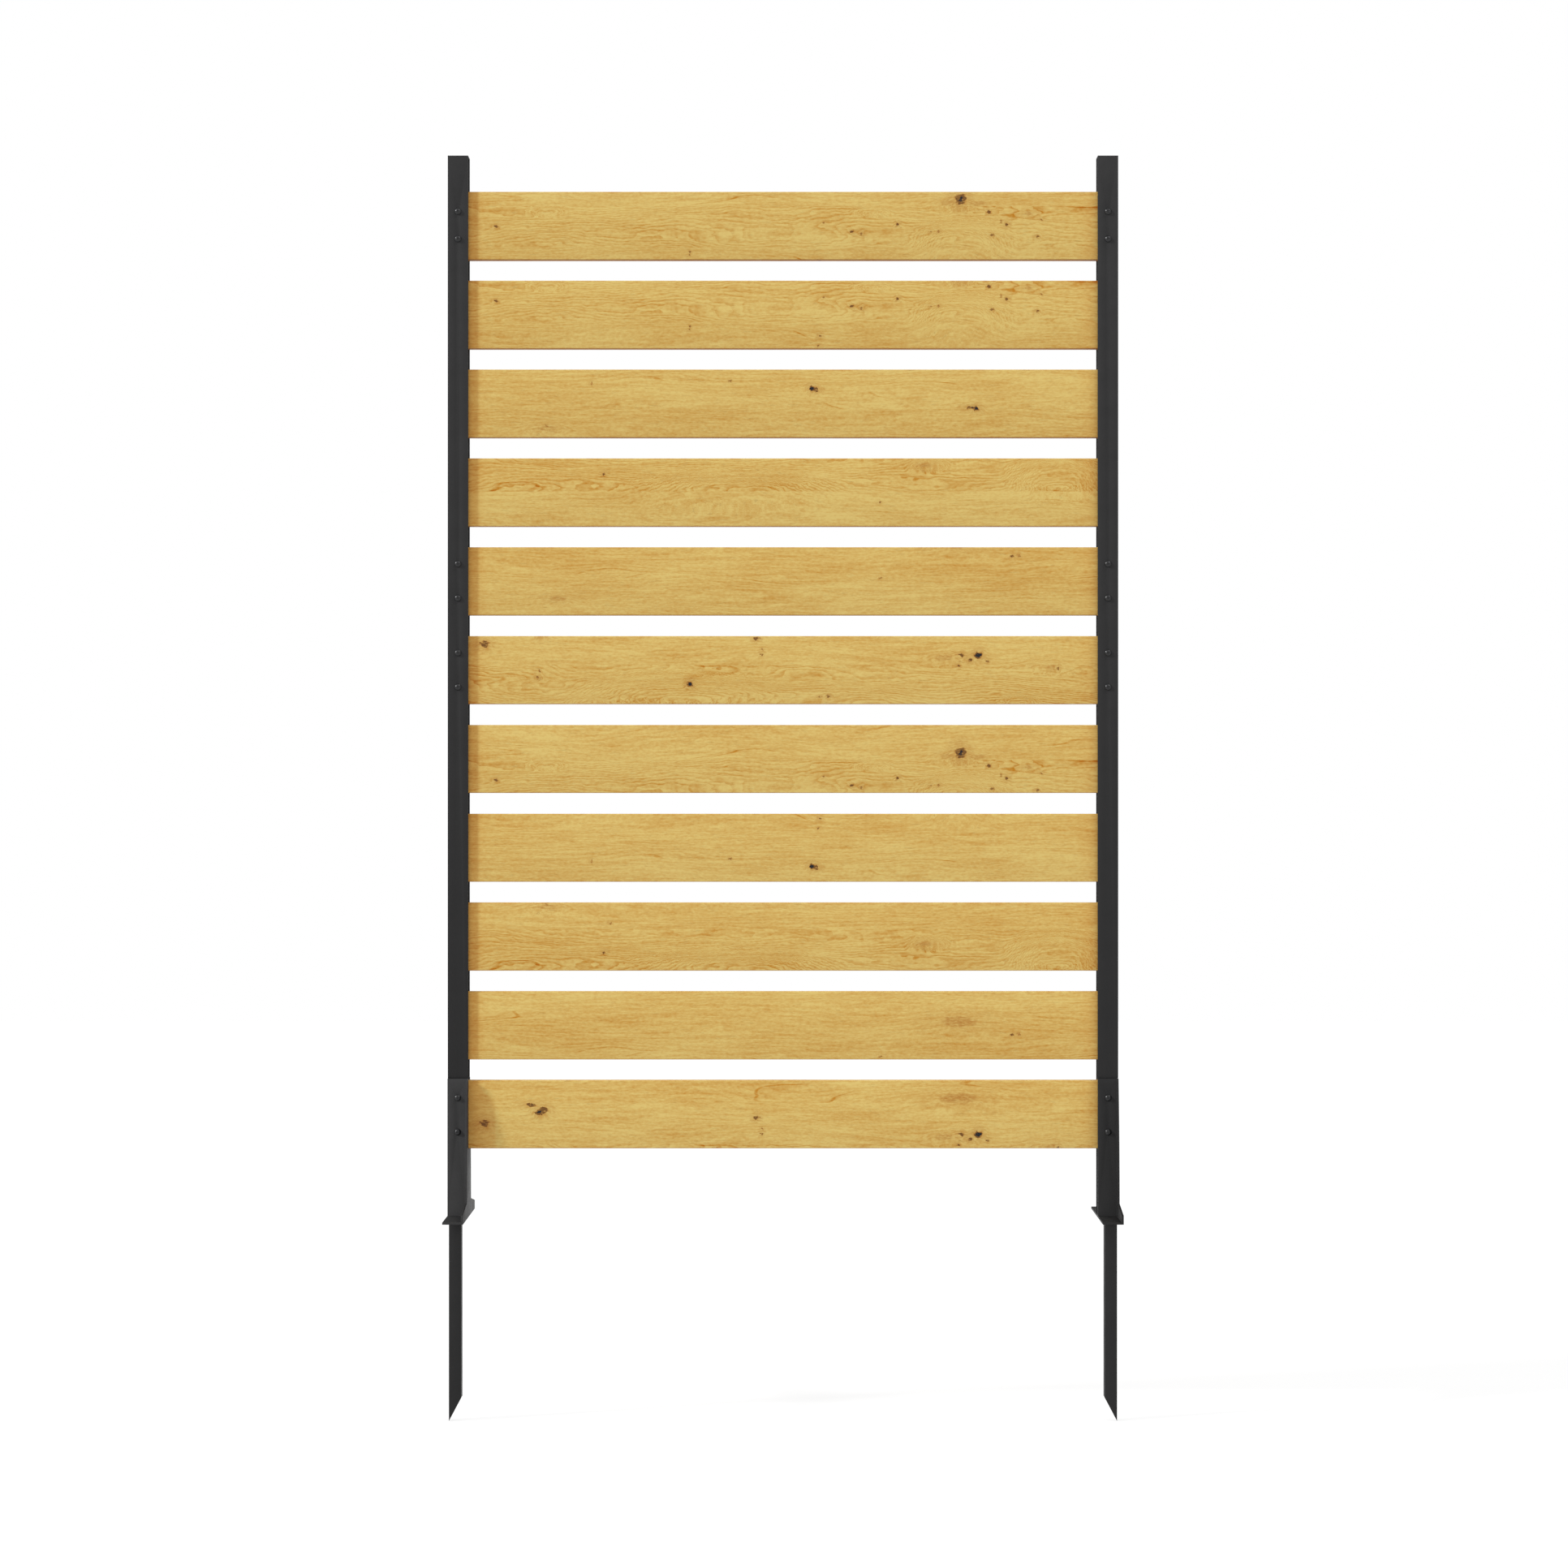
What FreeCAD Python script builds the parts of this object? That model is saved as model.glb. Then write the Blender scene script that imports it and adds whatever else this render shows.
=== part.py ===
import FreeCAD, Part
import math
import os

import Sketcher

# Garden privacy screen: eleven wooden slats between two steel channel posts, which stand on
# foot brackets with ground spikes. X runs along the slats, the front faces -Y, +Z is up. The
# origin lies midway between the posts, in the middle of their depth, at ground level.

document = FreeCAD.newDocument("PrivacyScreen")

# ------------------------------------------------------------------ driving dimensions

SIZES = {
    "OverallWidth": (980.0, "over the outer faces of the posts"),
    "PostFace": (30.0, "width of a post, seen from the front"),
    "PostDepth": (25.0, "depth of a post, front to back"),
    "PostWall": (2.0, "sheet of the post channel"),
    "PostBend": (1.2, "radius of the channel's two outer bends"),
    "PostTopMargin": (50.0, "post above the top slat"),
    "CapPlate": (2.0, "thickness of the cap above the post"),
    "CapPlug": (12.0, "depth of the cap's plug inside the post"),
    "CapWall": (2.0, "wall of the plug"),
    "CapPlay": (0.2, "gap between plug and post, each side"),
    "CapEdge": (0.5, "radius of the cap's top edges"),
    "SlatCount": (11.0, "number of slats"),
    "SlatHeight": (99.5, "height of one slat"),
    "SlatGap": (30.5, "gap between two slats"),
    "SlatThick": (15.0, "thickness of one slat"),
    "SlatEdge": (1.2, "radius of the slats' long edges"),
    "SlatEndPlay": (1.0, "gap between a slat's end and the post's web"),
    "GroundGap": (100.5, "ground to the bottom of the lowest slat"),
    "TopBoltSpacing": (40.0, "between the two bolts of the top slat"),
    "BoltSpacing": (50.0, "between the two bolts of the other bolted slats"),
    "BoltHole": (5.5, "diameter of the bolt holes"),
    "ShankDiameter": (5.0, "diameter of the bolts"),
    "HeadDiameter": (9.5, "diameter of the domed bolt heads"),
    "HeadDepth": (2.75, "height of the domed bolt heads"),
    "HeadFlat": (4.4, "diameter of the flat on top of the heads"),
    "HeadDome": (3.5, "radius of the dome between flat and rim"),
    "KeySize": (3.0, "hexagon key of the bolts, across flats"),
    "KeyDepth": (1.6, "depth of the hexagon in the heads"),
    "BoltLength": (35.0, "length of the bolts under the head"),
    "WasherDiameter": (10.0, "outside of the washers"),
    "WasherHole": (5.3, "hole in the washers"),
    "WasherDepth": (1.0, "thickness of the washers"),
    "NutSize": (8.0, "lock nut, across flats"),
    "NutDepth": (3.6, "hexagon part of the lock nut"),
    "NutCollar": (1.4, "round collar of the lock nut"),
    "CollarStep": (0.5, "collar inside the nut's flats, each side"),
    "NutPlay": (0.05, "gap between nut and bolt, each side"),
    "SpacerEndPlay": (3.5, "gap between a spacer and each side of the post"),
    "SpacerFacePlay": (0.1, "gap between a spacer and the post's flanges"),
    "SpacerSlatPlay": (0.2, "gap between a spacer's tongues and the slats"),
    "SpacerBoltPlay": (1.25, "gap between a spacer's tongues and the bolt holes"),
    "BracketSheet": (3.0, "sheet of the foot brackets"),
    "BracketTopMargin": (3.0, "bracket above the lowest slat"),
    "FootPlateLength": (180.0, "foot plate, front to back"),
    "SideTopMargin": (5.0, "side plate in front of the post, at its top"),
    "SideBaseMargin": (19.5, "side plate in front of the post, at its flare"),
    "SideFlareHeight": (23.0, "height at which the side plate flares"),
    "SideTipHeight": (13.0, "height of the side plate's two tips"),
    "SideEdgeRadius": (1254.0, "radius of the side plate's long edges"),
    "SlotPlay": (0.5, "gap between slat and bracket slot"),
    "ReliefPlay": (0.5, "gap between the bracket's top and the post's relief"),
    "SpikeWidth": (18.0, "spike tube, seen from the front"),
    "SpikeDepth": (20.0, "spike tube, front to back"),
    "SpikeWall": (1.5, "wall of the spike tube"),
    "SpikeInset": (1.5, "spike's outer face inside the post's outer face"),
    "SpikeLength": (298.0, "spike below ground"),
    "SpikeBevel": (34.0, "height of the bevel at the tip"),
}

sheet = document.addObject("Spreadsheet::Sheet", "Sizes")
for row, (alias, (value, meaning)) in enumerate(SIZES.items(), start=1):
    sheet.set(f"A{row}", meaning)
    sheet.set(f"B{row}", str(value))
    sheet.setAlias(f"B{row}", alias)
document.recompute()


def amount(expression):
    """The number that an expression of the sheet's sizes comes to."""
    return float(sheet.evalExpression(expression))


# ------------------------------------------------------------------ shared expressions

POST_X = "(Sizes.OverallWidth - Sizes.PostFace) / 2"
HALF_FACE = "Sizes.PostFace / 2"
HALF_DEPTH = "Sizes.PostDepth / 2"
INNER_DEPTH = "(Sizes.PostDepth / 2 - Sizes.PostWall)"
PITCH = "(Sizes.SlatHeight + Sizes.SlatGap)"
POST_TOP = (
    f"(Sizes.GroundGap + Sizes.SlatCount * {PITCH} - Sizes.SlatGap + Sizes.PostTopMargin)"
)
BRACKET_TOP = "(Sizes.GroundGap + Sizes.SlatHeight + Sizes.BracketTopMargin)"
SLAT_LENGTH = "(Sizes.OverallWidth - 2 * (Sizes.PostWall + Sizes.SlatEndPlay))"
HALF_TURN = FreeCAD.Rotation(FreeCAD.Vector(0, 0, 1), 180)

# The bolted slats, counted from the top, with the spacing of their two bolts.
TOP_SLAT = 1
MIDDLE_SLATS = (5, 6)
FOOT_SLAT = int(amount("Sizes.SlatCount"))
BOLT_SPACINGS = {TOP_SLAT: "Sizes.TopBoltSpacing"}
for bolted_slat in (*MIDDLE_SLATS, FOOT_SLAT):
    BOLT_SPACINGS[bolted_slat] = "Sizes.BoltSpacing"


def slat_z(number):
    """Height of a slat's centre line; slat 1 is the top one."""
    return f"(Sizes.GroundGap + Sizes.SlatHeight / 2 + (Sizes.SlatCount - {number}) * {PITCH})"


def bolt_heights(number):
    """Heights of the two bolts of a slat."""
    spacing = BOLT_SPACINGS[number]
    return [f"{slat_z(number)} {sign} {spacing} / 2" for sign in ("-", "+")]


# ------------------------------------------------------------------ sketches and features


def new_body(label):
    body = document.addObject("PartDesign::Body", label)
    body.Label = label
    return body


def new_sketch(body, name, role, offset=None):
    """A sketch on the body's own origin plane of that role, moved along its normal."""
    planes = [item for item in body.Origin.OriginFeatures if item.Role == role]
    sketch = body.newObject("Sketcher::SketchObject", name)
    sketch.AttachmentSupport = (planes[0], "")
    sketch.MapMode = "FlatFace"
    if offset:
        sketch.setExpression("AttachmentOffset.Base.z", offset)
    return sketch


def bind(sketch, constraint, expression):
    """Adds a size constraint and ties it to the sheet."""
    index = sketch.addConstraint(constraint)
    name = f"size_{index}"
    sketch.renameConstraint(index, name)
    sketch.setExpression(f"Constraints.{name}", expression)


def tie(sketch, edge, point, across, up):
    """Ties a point of an edge to its distances from the sketch origin."""
    place = ((across, "DistanceX", -2), (up, "DistanceY", -1))
    for expression, direction, axis in place:
        if expression == "0":
            sketch.addConstraint(Sketcher.Constraint("PointOnObject", edge, point, axis))
        else:
            value = amount(expression)
            distance = Sketcher.Constraint(direction, -1, 1, edge, point, value)
            bind(sketch, distance, expression)


def bowed_edge(start, end, radius):
    """An arc from start to end that bows to the right of its way."""
    chord = end - start
    half = chord.Length / 2
    height = radius - math.sqrt(radius**2 - half**2)
    outward = FreeCAD.Vector(chord.y, -chord.x, 0).normalize()
    return Part.Arc(start, (start + end) * 0.5 + outward * height, end)


def outline(sketch, corners, arcs=None):
    """A closed outline, drawn anticlockwise through corners given as pairs of expressions.
    Edges named in arcs bow outwards with the radius given there."""
    arcs = arcs or {}
    points = [FreeCAD.Vector(amount(across), amount(up), 0) for across, up in corners]
    edges = []
    for index, start in enumerate(points):
        end = points[(index + 1) % len(points)]
        if index in arcs:
            shape = bowed_edge(start, end, amount(arcs[index]))
        else:
            shape = Part.LineSegment(start, end)
        edges.append(sketch.addGeometry(shape, False))
    for index, edge in enumerate(edges):
        following = edges[(index + 1) % len(edges)]
        sketch.addConstraint(Sketcher.Constraint("Coincident", edge, 2, following, 1))
        tie(sketch, edge, 1, *corners[index])
        if index in arcs:
            radius = Sketcher.Constraint("Radius", edge, amount(arcs[index]))
            bind(sketch, radius, arcs[index])


def rectangle(sketch, low, high):
    """A rectangle between two corners given as pairs of expressions."""
    outline(sketch, [low, (high[0], low[1]), high, (low[0], high[1])])


def centred_rectangle(sketch, width, height):
    low = (f"-({width}) / 2", f"-({height}) / 2")
    rectangle(sketch, low, (f"({width}) / 2", f"({height}) / 2"))


def circle(sketch, across, up, diameter):
    centre = FreeCAD.Vector(amount(across), amount(up), 0)
    shape = Part.Circle(centre, FreeCAD.Vector(0, 0, 1), amount(diameter) / 2)
    edge = sketch.addGeometry(shape, False)
    tie(sketch, edge, 3, across, up)
    bind(sketch, Sketcher.Constraint("Diameter", edge, amount(diameter)), diameter)


def hexagon(sketch, across_flats):
    """A regular hexagon about the sketch origin."""
    side_distance = f"{across_flats} / 2"
    corner_distance = f"{across_flats} / 2 / cos(30 deg)"
    half_side = f"{across_flats} / 2 * tan(30 deg)"
    outline(
        sketch,
        [
            (f"-{half_side}", f"-{side_distance}"),
            (half_side, f"-{side_distance}"),
            (corner_distance, "0"),
            (half_side, side_distance),
            (f"-{half_side}", side_distance),
            (f"-{corner_distance}", "0"),
        ],
    )


def pad(body, sketch, length, midplane=False, reverse=False):
    feature = body.newObject("PartDesign::Pad", f"{sketch.Name}_pad")
    feature.Profile = sketch
    feature.setExpression("Length", length)
    feature.Midplane = midplane
    feature.Reversed = reverse
    document.recompute()
    return feature


def pocket(body, sketch, length=None, reverse=False):
    """Cuts the sketch out of the body: to a depth, or where none is given right through it
    both ways. The volume tells whether the cut took anything away."""
    before = body.Shape.Volume
    feature = body.newObject("PartDesign::Pocket", f"{sketch.Name}_cut")
    feature.Profile = sketch
    if length:
        feature.setExpression("Length", length)
        feature.Reversed = reverse
    else:
        feature.Type = "ThroughAll"
        feature.Midplane = True
    document.recompute()
    if body.Shape.Volume > before - 1e-6:
        raise RuntimeError(f"{feature.Name} cuts nothing")
    return feature


def fillet(body, base, radius, test, count):
    """Rounds the edges of a feature whose two ends pass the test."""
    names = []
    for index, edge in enumerate(base.Shape.Edges, start=1):
        ends = [vertex.Point for vertex in edge.Vertexes]
        if len(ends) == 2 and test(*ends):
            names.append(f"Edge{index}")
    if len(names) != count:
        raise RuntimeError(f"{body.Label} has {len(names)} edges to round, not {count}")
    feature = body.newObject("PartDesign::Fillet", f"{body.Name}_rounding")
    feature.Base = (base, names)
    feature.setExpression("Radius", radius)
    document.recompute()
    return feature


def place(thing, x=None, z=None, turned=False):
    """Puts a piece in the frame of the whole screen, turned about Z by half a turn or not."""
    if turned:
        thing.Placement = FreeCAD.Placement(FreeCAD.Vector(), HALF_TURN)
    if x:
        thing.setExpression("Placement.Base.x", x)
    if z:
        thing.setExpression("Placement.Base.z", z)


# ------------------------------------------------------------------ posts and caps


def post(label, bracket_on_open_side):
    """A channel about its own axis with its web on -X, open towards +X. Near the ground its
    edge makes room for the foot bracket's side plate, on the open side or on the web side."""
    body = new_body(label)
    profile = new_sketch(body, f"{label}_profile", "XY_Plane", "Sizes.BracketSheet")
    outer = f"-{HALF_FACE}"
    inner = f"-{HALF_FACE} + Sizes.PostWall"
    corners = [
        (outer, f"-{HALF_DEPTH}"),
        (HALF_FACE, f"-{HALF_DEPTH}"),
        (HALF_FACE, f"-{INNER_DEPTH}"),
        (inner, f"-{INNER_DEPTH}"),
        (inner, INNER_DEPTH),
        (HALF_FACE, INNER_DEPTH),
        (HALF_FACE, HALF_DEPTH),
        (outer, HALF_DEPTH),
    ]
    outline(profile, corners)
    channel = pad(body, profile, f"{POST_TOP} - Sizes.BracketSheet")
    web_x = amount(outer)
    corner_y = amount(HALF_DEPTH)

    def outer_bend(start, end):
        upright = abs(start.x - end.x) + abs(start.y - end.y) < 1e-6
        return upright and abs(start.x - web_x) < 1e-6 and abs(abs(start.y) - corner_y) < 1e-6

    fillet(body, channel, "Sizes.PostBend", outer_bend, 2)
    relief = new_sketch(body, f"{label}_relief", "XZ_Plane")
    near = f"{HALF_FACE} - Sizes.BracketSheet"
    far = f"{HALF_FACE} + Sizes.BracketSheet"
    top = f"{BRACKET_TOP} + Sizes.ReliefPlay"
    if bracket_on_open_side:
        rectangle(relief, (near, "0"), (far, top))
    else:
        rectangle(relief, (f"-({far})", "0"), (f"-({near})", top))
    pocket(body, relief)
    holes = new_sketch(body, f"{label}_holes", "XZ_Plane")
    for number in BOLT_SPACINGS:
        for height in bolt_heights(number):
            circle(holes, "0", height, "Sizes.BoltHole")
    pocket(body, holes)
    return body


def post_cap(label):
    """A flat cap whose underside lies on z = 0, with a hollow plug below it."""
    body = new_body(label)
    plate = new_sketch(body, f"{label}_plate", "XY_Plane")
    centred_rectangle(plate, "Sizes.PostFace", "Sizes.PostDepth")
    top = pad(body, plate, "Sizes.CapPlate")
    height = amount("Sizes.CapPlate")

    def top_edge(start, end):
        return min(start.z, end.z) > height - 1e-6

    fillet(body, top, "Sizes.CapEdge", top_edge, 4)
    plug = new_sketch(body, f"{label}_plug", "XY_Plane")
    taken = "2 * Sizes.PostWall + 2 * Sizes.CapPlay"
    centred_rectangle(plug, f"Sizes.PostFace - ({taken})", f"Sizes.PostDepth - ({taken})")
    pad(body, plug, "Sizes.CapPlug", reverse=True)
    hollow = new_sketch(body, f"{label}_hollow", "XY_Plane", "-Sizes.CapPlug")
    taken = f"{taken} + 2 * Sizes.CapWall"
    centred_rectangle(hollow, f"Sizes.PostFace - ({taken})", f"Sizes.PostDepth - ({taken})")
    pocket(body, hollow, "Sizes.CapPlug", reverse=True)
    return body


# ------------------------------------------------------------------ slats and spacers


def slat(number):
    """A plank about its own centre. A bolted one has two holes near each end."""
    label = f"slat_{number:02d}"
    body = new_body(label)
    section = new_sketch(body, f"{label}_section", "YZ_Plane")
    centred_rectangle(section, "Sizes.SlatThick", "Sizes.SlatHeight")
    plank = pad(body, section, SLAT_LENGTH, midplane=True)
    half_length = amount(SLAT_LENGTH) / 2

    def long_edge(start, end):
        return abs(start.x - end.x) > half_length

    fillet(body, plank, "Sizes.SlatEdge", long_edge, 4)
    if number in BOLT_SPACINGS:
        holes = new_sketch(body, f"{label}_holes", "XZ_Plane")
        spacing = BOLT_SPACINGS[number]
        for across in (f"-{POST_X}", POST_X):
            for up in (f"-{spacing} / 2", f"{spacing} / 2"):
                circle(holes, across, up, "Sizes.BoltHole")
        pocket(body, holes)
    place(body, z=slat_z(number))
    return body


def spacer(label, below_slat):
    """A block that fills the gap under a slat inside a post, with tongues in front of and
    behind the two slats it touches. The tongues end short of the bolts."""
    body = new_body(label)
    profile = new_sketch(body, f"{label}_profile", "YZ_Plane")
    face = f"({INNER_DEPTH} - Sizes.SpacerFacePlay)"
    tongue = "(Sizes.SlatThick / 2 + Sizes.SpacerSlatPlay)"
    half = "(Sizes.SlatGap / 2)"
    reach = "((Sizes.SlatHeight - Sizes.BoltSpacing - Sizes.BoltHole) / 2 - Sizes.SpacerBoltPlay)"
    tip = f"({half} + {reach})"
    corners = [
        (f"-{face}", f"-{tip}"),
        (f"-{tongue}", f"-{tip}"),
        (f"-{tongue}", f"-{half}"),
        (tongue, f"-{half}"),
        (tongue, f"-{tip}"),
        (face, f"-{tip}"),
        (face, tip),
        (tongue, tip),
        (tongue, half),
        (f"-{tongue}", half),
        (f"-{tongue}", tip),
        (f"-{face}", tip),
    ]
    outline(profile, corners)
    pad(body, profile, "Sizes.PostFace - 2 * Sizes.SpacerEndPlay", midplane=True)
    place(body, z=f"{slat_z(below_slat)} - {PITCH} / 2")
    return body


# ------------------------------------------------------------------ foot brackets and spikes


def foot_bracket(label):
    """A bracket about its post's axis: a foot plate on the ground, a strap on the post's front
    and a side plate on its +X side, whose open slot lets the lowest slat through."""
    body = new_body(label)
    side = new_sketch(
        body, f"{label}_side", "YZ_Plane", f"{HALF_FACE} - Sizes.BracketSheet"
    )
    tip = "Sizes.FootPlateLength / 2"
    base = f"({HALF_DEPTH} + Sizes.SideBaseMargin)"
    top = f"({HALF_DEPTH} + Sizes.SideTopMargin)"
    slot = "(Sizes.SlatThick / 2 + Sizes.SlotPlay)"
    slot_floor = "Sizes.GroundGap - Sizes.SlotPlay"
    corners = [
        (f"-{tip}", "0"),
        (tip, "0"),
        (tip, "Sizes.SideTipHeight"),
        (base, "Sizes.SideFlareHeight"),
        (top, BRACKET_TOP),
        (slot, BRACKET_TOP),
        (slot, slot_floor),
        (f"-{slot}", slot_floor),
        (f"-{slot}", BRACKET_TOP),
        (f"-{top}", BRACKET_TOP),
        (f"-{base}", "Sizes.SideFlareHeight"),
        (f"-{tip}", "Sizes.SideTipHeight"),
    ]
    rear_edge = 3
    front_edge = 9
    radius = "Sizes.SideEdgeRadius"
    outline(side, corners, {rear_edge: radius, front_edge: radius})
    pad(body, side, "Sizes.BracketSheet")
    sole = new_sketch(body, f"{label}_sole", "XY_Plane")
    centred_rectangle(sole, "Sizes.PostFace", "Sizes.FootPlateLength")
    pad(body, sole, "Sizes.BracketSheet")
    strap = new_sketch(body, f"{label}_strap", "XZ_Plane", HALF_DEPTH)
    rectangle(strap, (f"-{HALF_FACE}", "0"), (HALF_FACE, BRACKET_TOP))
    pad(body, strap, "Sizes.BracketSheet")
    holes = new_sketch(body, f"{label}_holes", "XZ_Plane")
    for height in bolt_heights(FOOT_SLAT):
        circle(holes, "0", height, "Sizes.BoltHole")
    pocket(body, holes)
    return body


def spike(label):
    """A rectangular tube from z = 0 down, about its own axis, with a bevel that leaves the tip
    on its -X side."""
    body = new_body(label)
    section = new_sketch(body, f"{label}_section", "XY_Plane")
    centred_rectangle(section, "Sizes.SpikeWidth", "Sizes.SpikeDepth")
    centred_rectangle(
        section,
        "Sizes.SpikeWidth - 2 * Sizes.SpikeWall",
        "Sizes.SpikeDepth - 2 * Sizes.SpikeWall",
    )
    pad(body, section, "Sizes.SpikeLength", reverse=True)
    bevel = new_sketch(body, f"{label}_bevel", "XZ_Plane")
    half = "Sizes.SpikeWidth / 2"
    outline(
        bevel,
        [
            (f"-{half}", "-Sizes.SpikeLength"),
            (half, "-Sizes.SpikeLength"),
            (half, "-Sizes.SpikeLength + Sizes.SpikeBevel"),
        ],
    )
    pocket(body, bevel)
    return body


# ------------------------------------------------------------------ bolts, washers and nuts


def bolt_pattern_piece():
    """One bolt along +Y, with the underside of its domed head at the origin."""
    body = new_body("bolt")
    half = new_sketch(body, "bolt_half", "XY_Plane")
    corners = [
        ("0", "-Sizes.HeadDepth"),
        ("Sizes.HeadFlat / 2", "-Sizes.HeadDepth"),
        ("Sizes.HeadDiameter / 2", "0"),
        ("Sizes.ShankDiameter / 2", "0"),
        ("Sizes.ShankDiameter / 2", "Sizes.BoltLength"),
        ("0", "Sizes.BoltLength"),
    ]
    dome = 1
    outline(half, corners, {dome: "Sizes.HeadDome"})
    turned = body.newObject("PartDesign::Revolution", "bolt_turned")
    turned.Profile = half
    turned.ReferenceAxis = (half, ["V_Axis"])
    turned.Angle = 360.0
    document.recompute()
    key = new_sketch(body, "bolt_key", "XZ_Plane", "Sizes.HeadDepth")
    hexagon(key, "Sizes.KeySize")
    pocket(body, key, "Sizes.KeyDepth")
    return body


def washer_pattern_piece():
    """One washer about the Y axis, from the origin towards +Y."""
    body = new_body("washer")
    face = new_sketch(body, "washer_face", "XZ_Plane")
    circle(face, "0", "0", "Sizes.WasherDiameter")
    circle(face, "0", "0", "Sizes.WasherHole")
    pad(body, face, "Sizes.WasherDepth", reverse=True)
    return body


def nut_pattern_piece():
    """One lock nut about the Y axis, from the origin towards +Y, its collar outermost."""
    body = new_body("nut")
    face = new_sketch(body, "nut_face", "XZ_Plane")
    hexagon(face, "Sizes.NutSize")
    pad(body, face, "Sizes.NutDepth", reverse=True)
    collar = new_sketch(body, "nut_collar", "XZ_Plane")
    circle(collar, "0", "0", "Sizes.NutSize - 2 * Sizes.CollarStep")
    pad(body, collar, "Sizes.NutDepth + Sizes.NutCollar", reverse=True)
    bore = new_sketch(body, "nut_bore", "XZ_Plane")
    circle(bore, "0", "0", "Sizes.ShankDiameter + 2 * Sizes.NutPlay")
    pocket(body, bore)
    return body


def fastener_group(label, pattern_piece, places):
    """Copies of one small piece, as one sub-part with separate solids."""
    copies = []
    for place_of_copy in places:
        copy = pattern_piece.Shape.copy()
        copy.translate(place_of_copy)
        copies.append(copy)
    thing = document.addObject("Part::Feature", label)
    thing.Label = label
    thing.Shape = Part.makeCompound(copies)
    return thing


def bolt_axes(side):
    """Where the bolts of one post cross the middle of its depth, with their slat's number;
    side is -1 for the left post and 1 for the right one."""
    x = side * amount(POST_X)
    axes = []
    for number in BOLT_SPACINGS:
        for height in bolt_heights(number):
            axes.append((number, FreeCAD.Vector(x, 0, amount(height))))
    return axes


# ------------------------------------------------------------------ the screen

LEFT_X = f"-{POST_X}"
RIGHT_X = POST_X
SPIKE_X = "(Sizes.OverallWidth / 2 - Sizes.SpikeInset - Sizes.SpikeWidth / 2)"

left_post = post("left_post", bracket_on_open_side=True)
place(left_post, x=LEFT_X)
right_post = post("right_post", bracket_on_open_side=False)
place(right_post, x=RIGHT_X, turned=True)
subparts = [left_post, right_post]
for side_name, x in (("left", LEFT_X), ("right", RIGHT_X)):
    cap = post_cap(f"{side_name}_post_cap")
    place(cap, x=x, z=POST_TOP)
    bracket = foot_bracket(f"{side_name}_foot_bracket")
    place(bracket, x=x)
    subparts += [cap, bracket]

left_spike = spike("left_spike")
place(left_spike, x=f"-{SPIKE_X}")
right_spike = spike("right_spike")
place(right_spike, x=SPIKE_X, turned=True)
subparts += [left_spike, right_spike]

for number in range(1, FOOT_SLAT + 1):
    subparts.append(slat(number))
for side_name, x in (("left", LEFT_X), ("right", RIGHT_X)):
    for number in range(1, FOOT_SLAT):
        block = spacer(f"{side_name}_spacer_{number:02d}", number)
        place(block, x=x)
        subparts.append(block)

bolt = bolt_pattern_piece()
washer = washer_pattern_piece()
nut = nut_pattern_piece()
document.recompute()

post_front = amount(HALF_DEPTH)
strap_front = post_front + amount("Sizes.BracketSheet")
nut_seat = post_front + amount("Sizes.WasherDepth")
for side_name, side in (("left", -1), ("right", 1)):
    axes = bolt_axes(side)
    heads = []
    for number, axis in axes:
        front = strap_front if number == FOOT_SLAT else post_front
        heads.append(axis + FreeCAD.Vector(0, -front, 0))
    washers = [axis + FreeCAD.Vector(0, post_front, 0) for number, axis in axes]
    nuts = [axis + FreeCAD.Vector(0, nut_seat, 0) for number, axis in axes]
    subparts.append(fastener_group(f"{side_name}_screws", bolt, heads))
    subparts.append(fastener_group(f"{side_name}_washers", washer, washers))
    subparts.append(fastener_group(f"{side_name}_nuts", nut, nuts))

# ------------------------------------------------------------------ check and write

document.recompute()
for thing in document.Objects:
    if "Invalid" in thing.State or "Error" in thing.State:
        raise RuntimeError(f"{thing.Label} did not build: {thing.State}")
for thing in subparts:
    if thing.Shape.isNull() or not thing.Shape.isValid() or not thing.Shape.Solids:
        raise RuntimeError(f"{thing.Label} has no valid shape")

os.makedirs("parts", exist_ok=True)
for thing in subparts:
    thing.Shape.exportStep(os.path.join("parts", f"{thing.Label}.step"))
    box = thing.Shape.BoundBox
    print(
        f"{thing.Label}: {len(thing.Shape.Solids)} solid(s), "
        f"x {box.XMin:.1f}..{box.XMax:.1f}, y {box.YMin:.1f}..{box.YMax:.1f}, "
        f"z {box.ZMin:.1f}..{box.ZMax:.1f}, {thing.Shape.Volume / 1000:.1f} cm3"
    )
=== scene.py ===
import math

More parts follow.
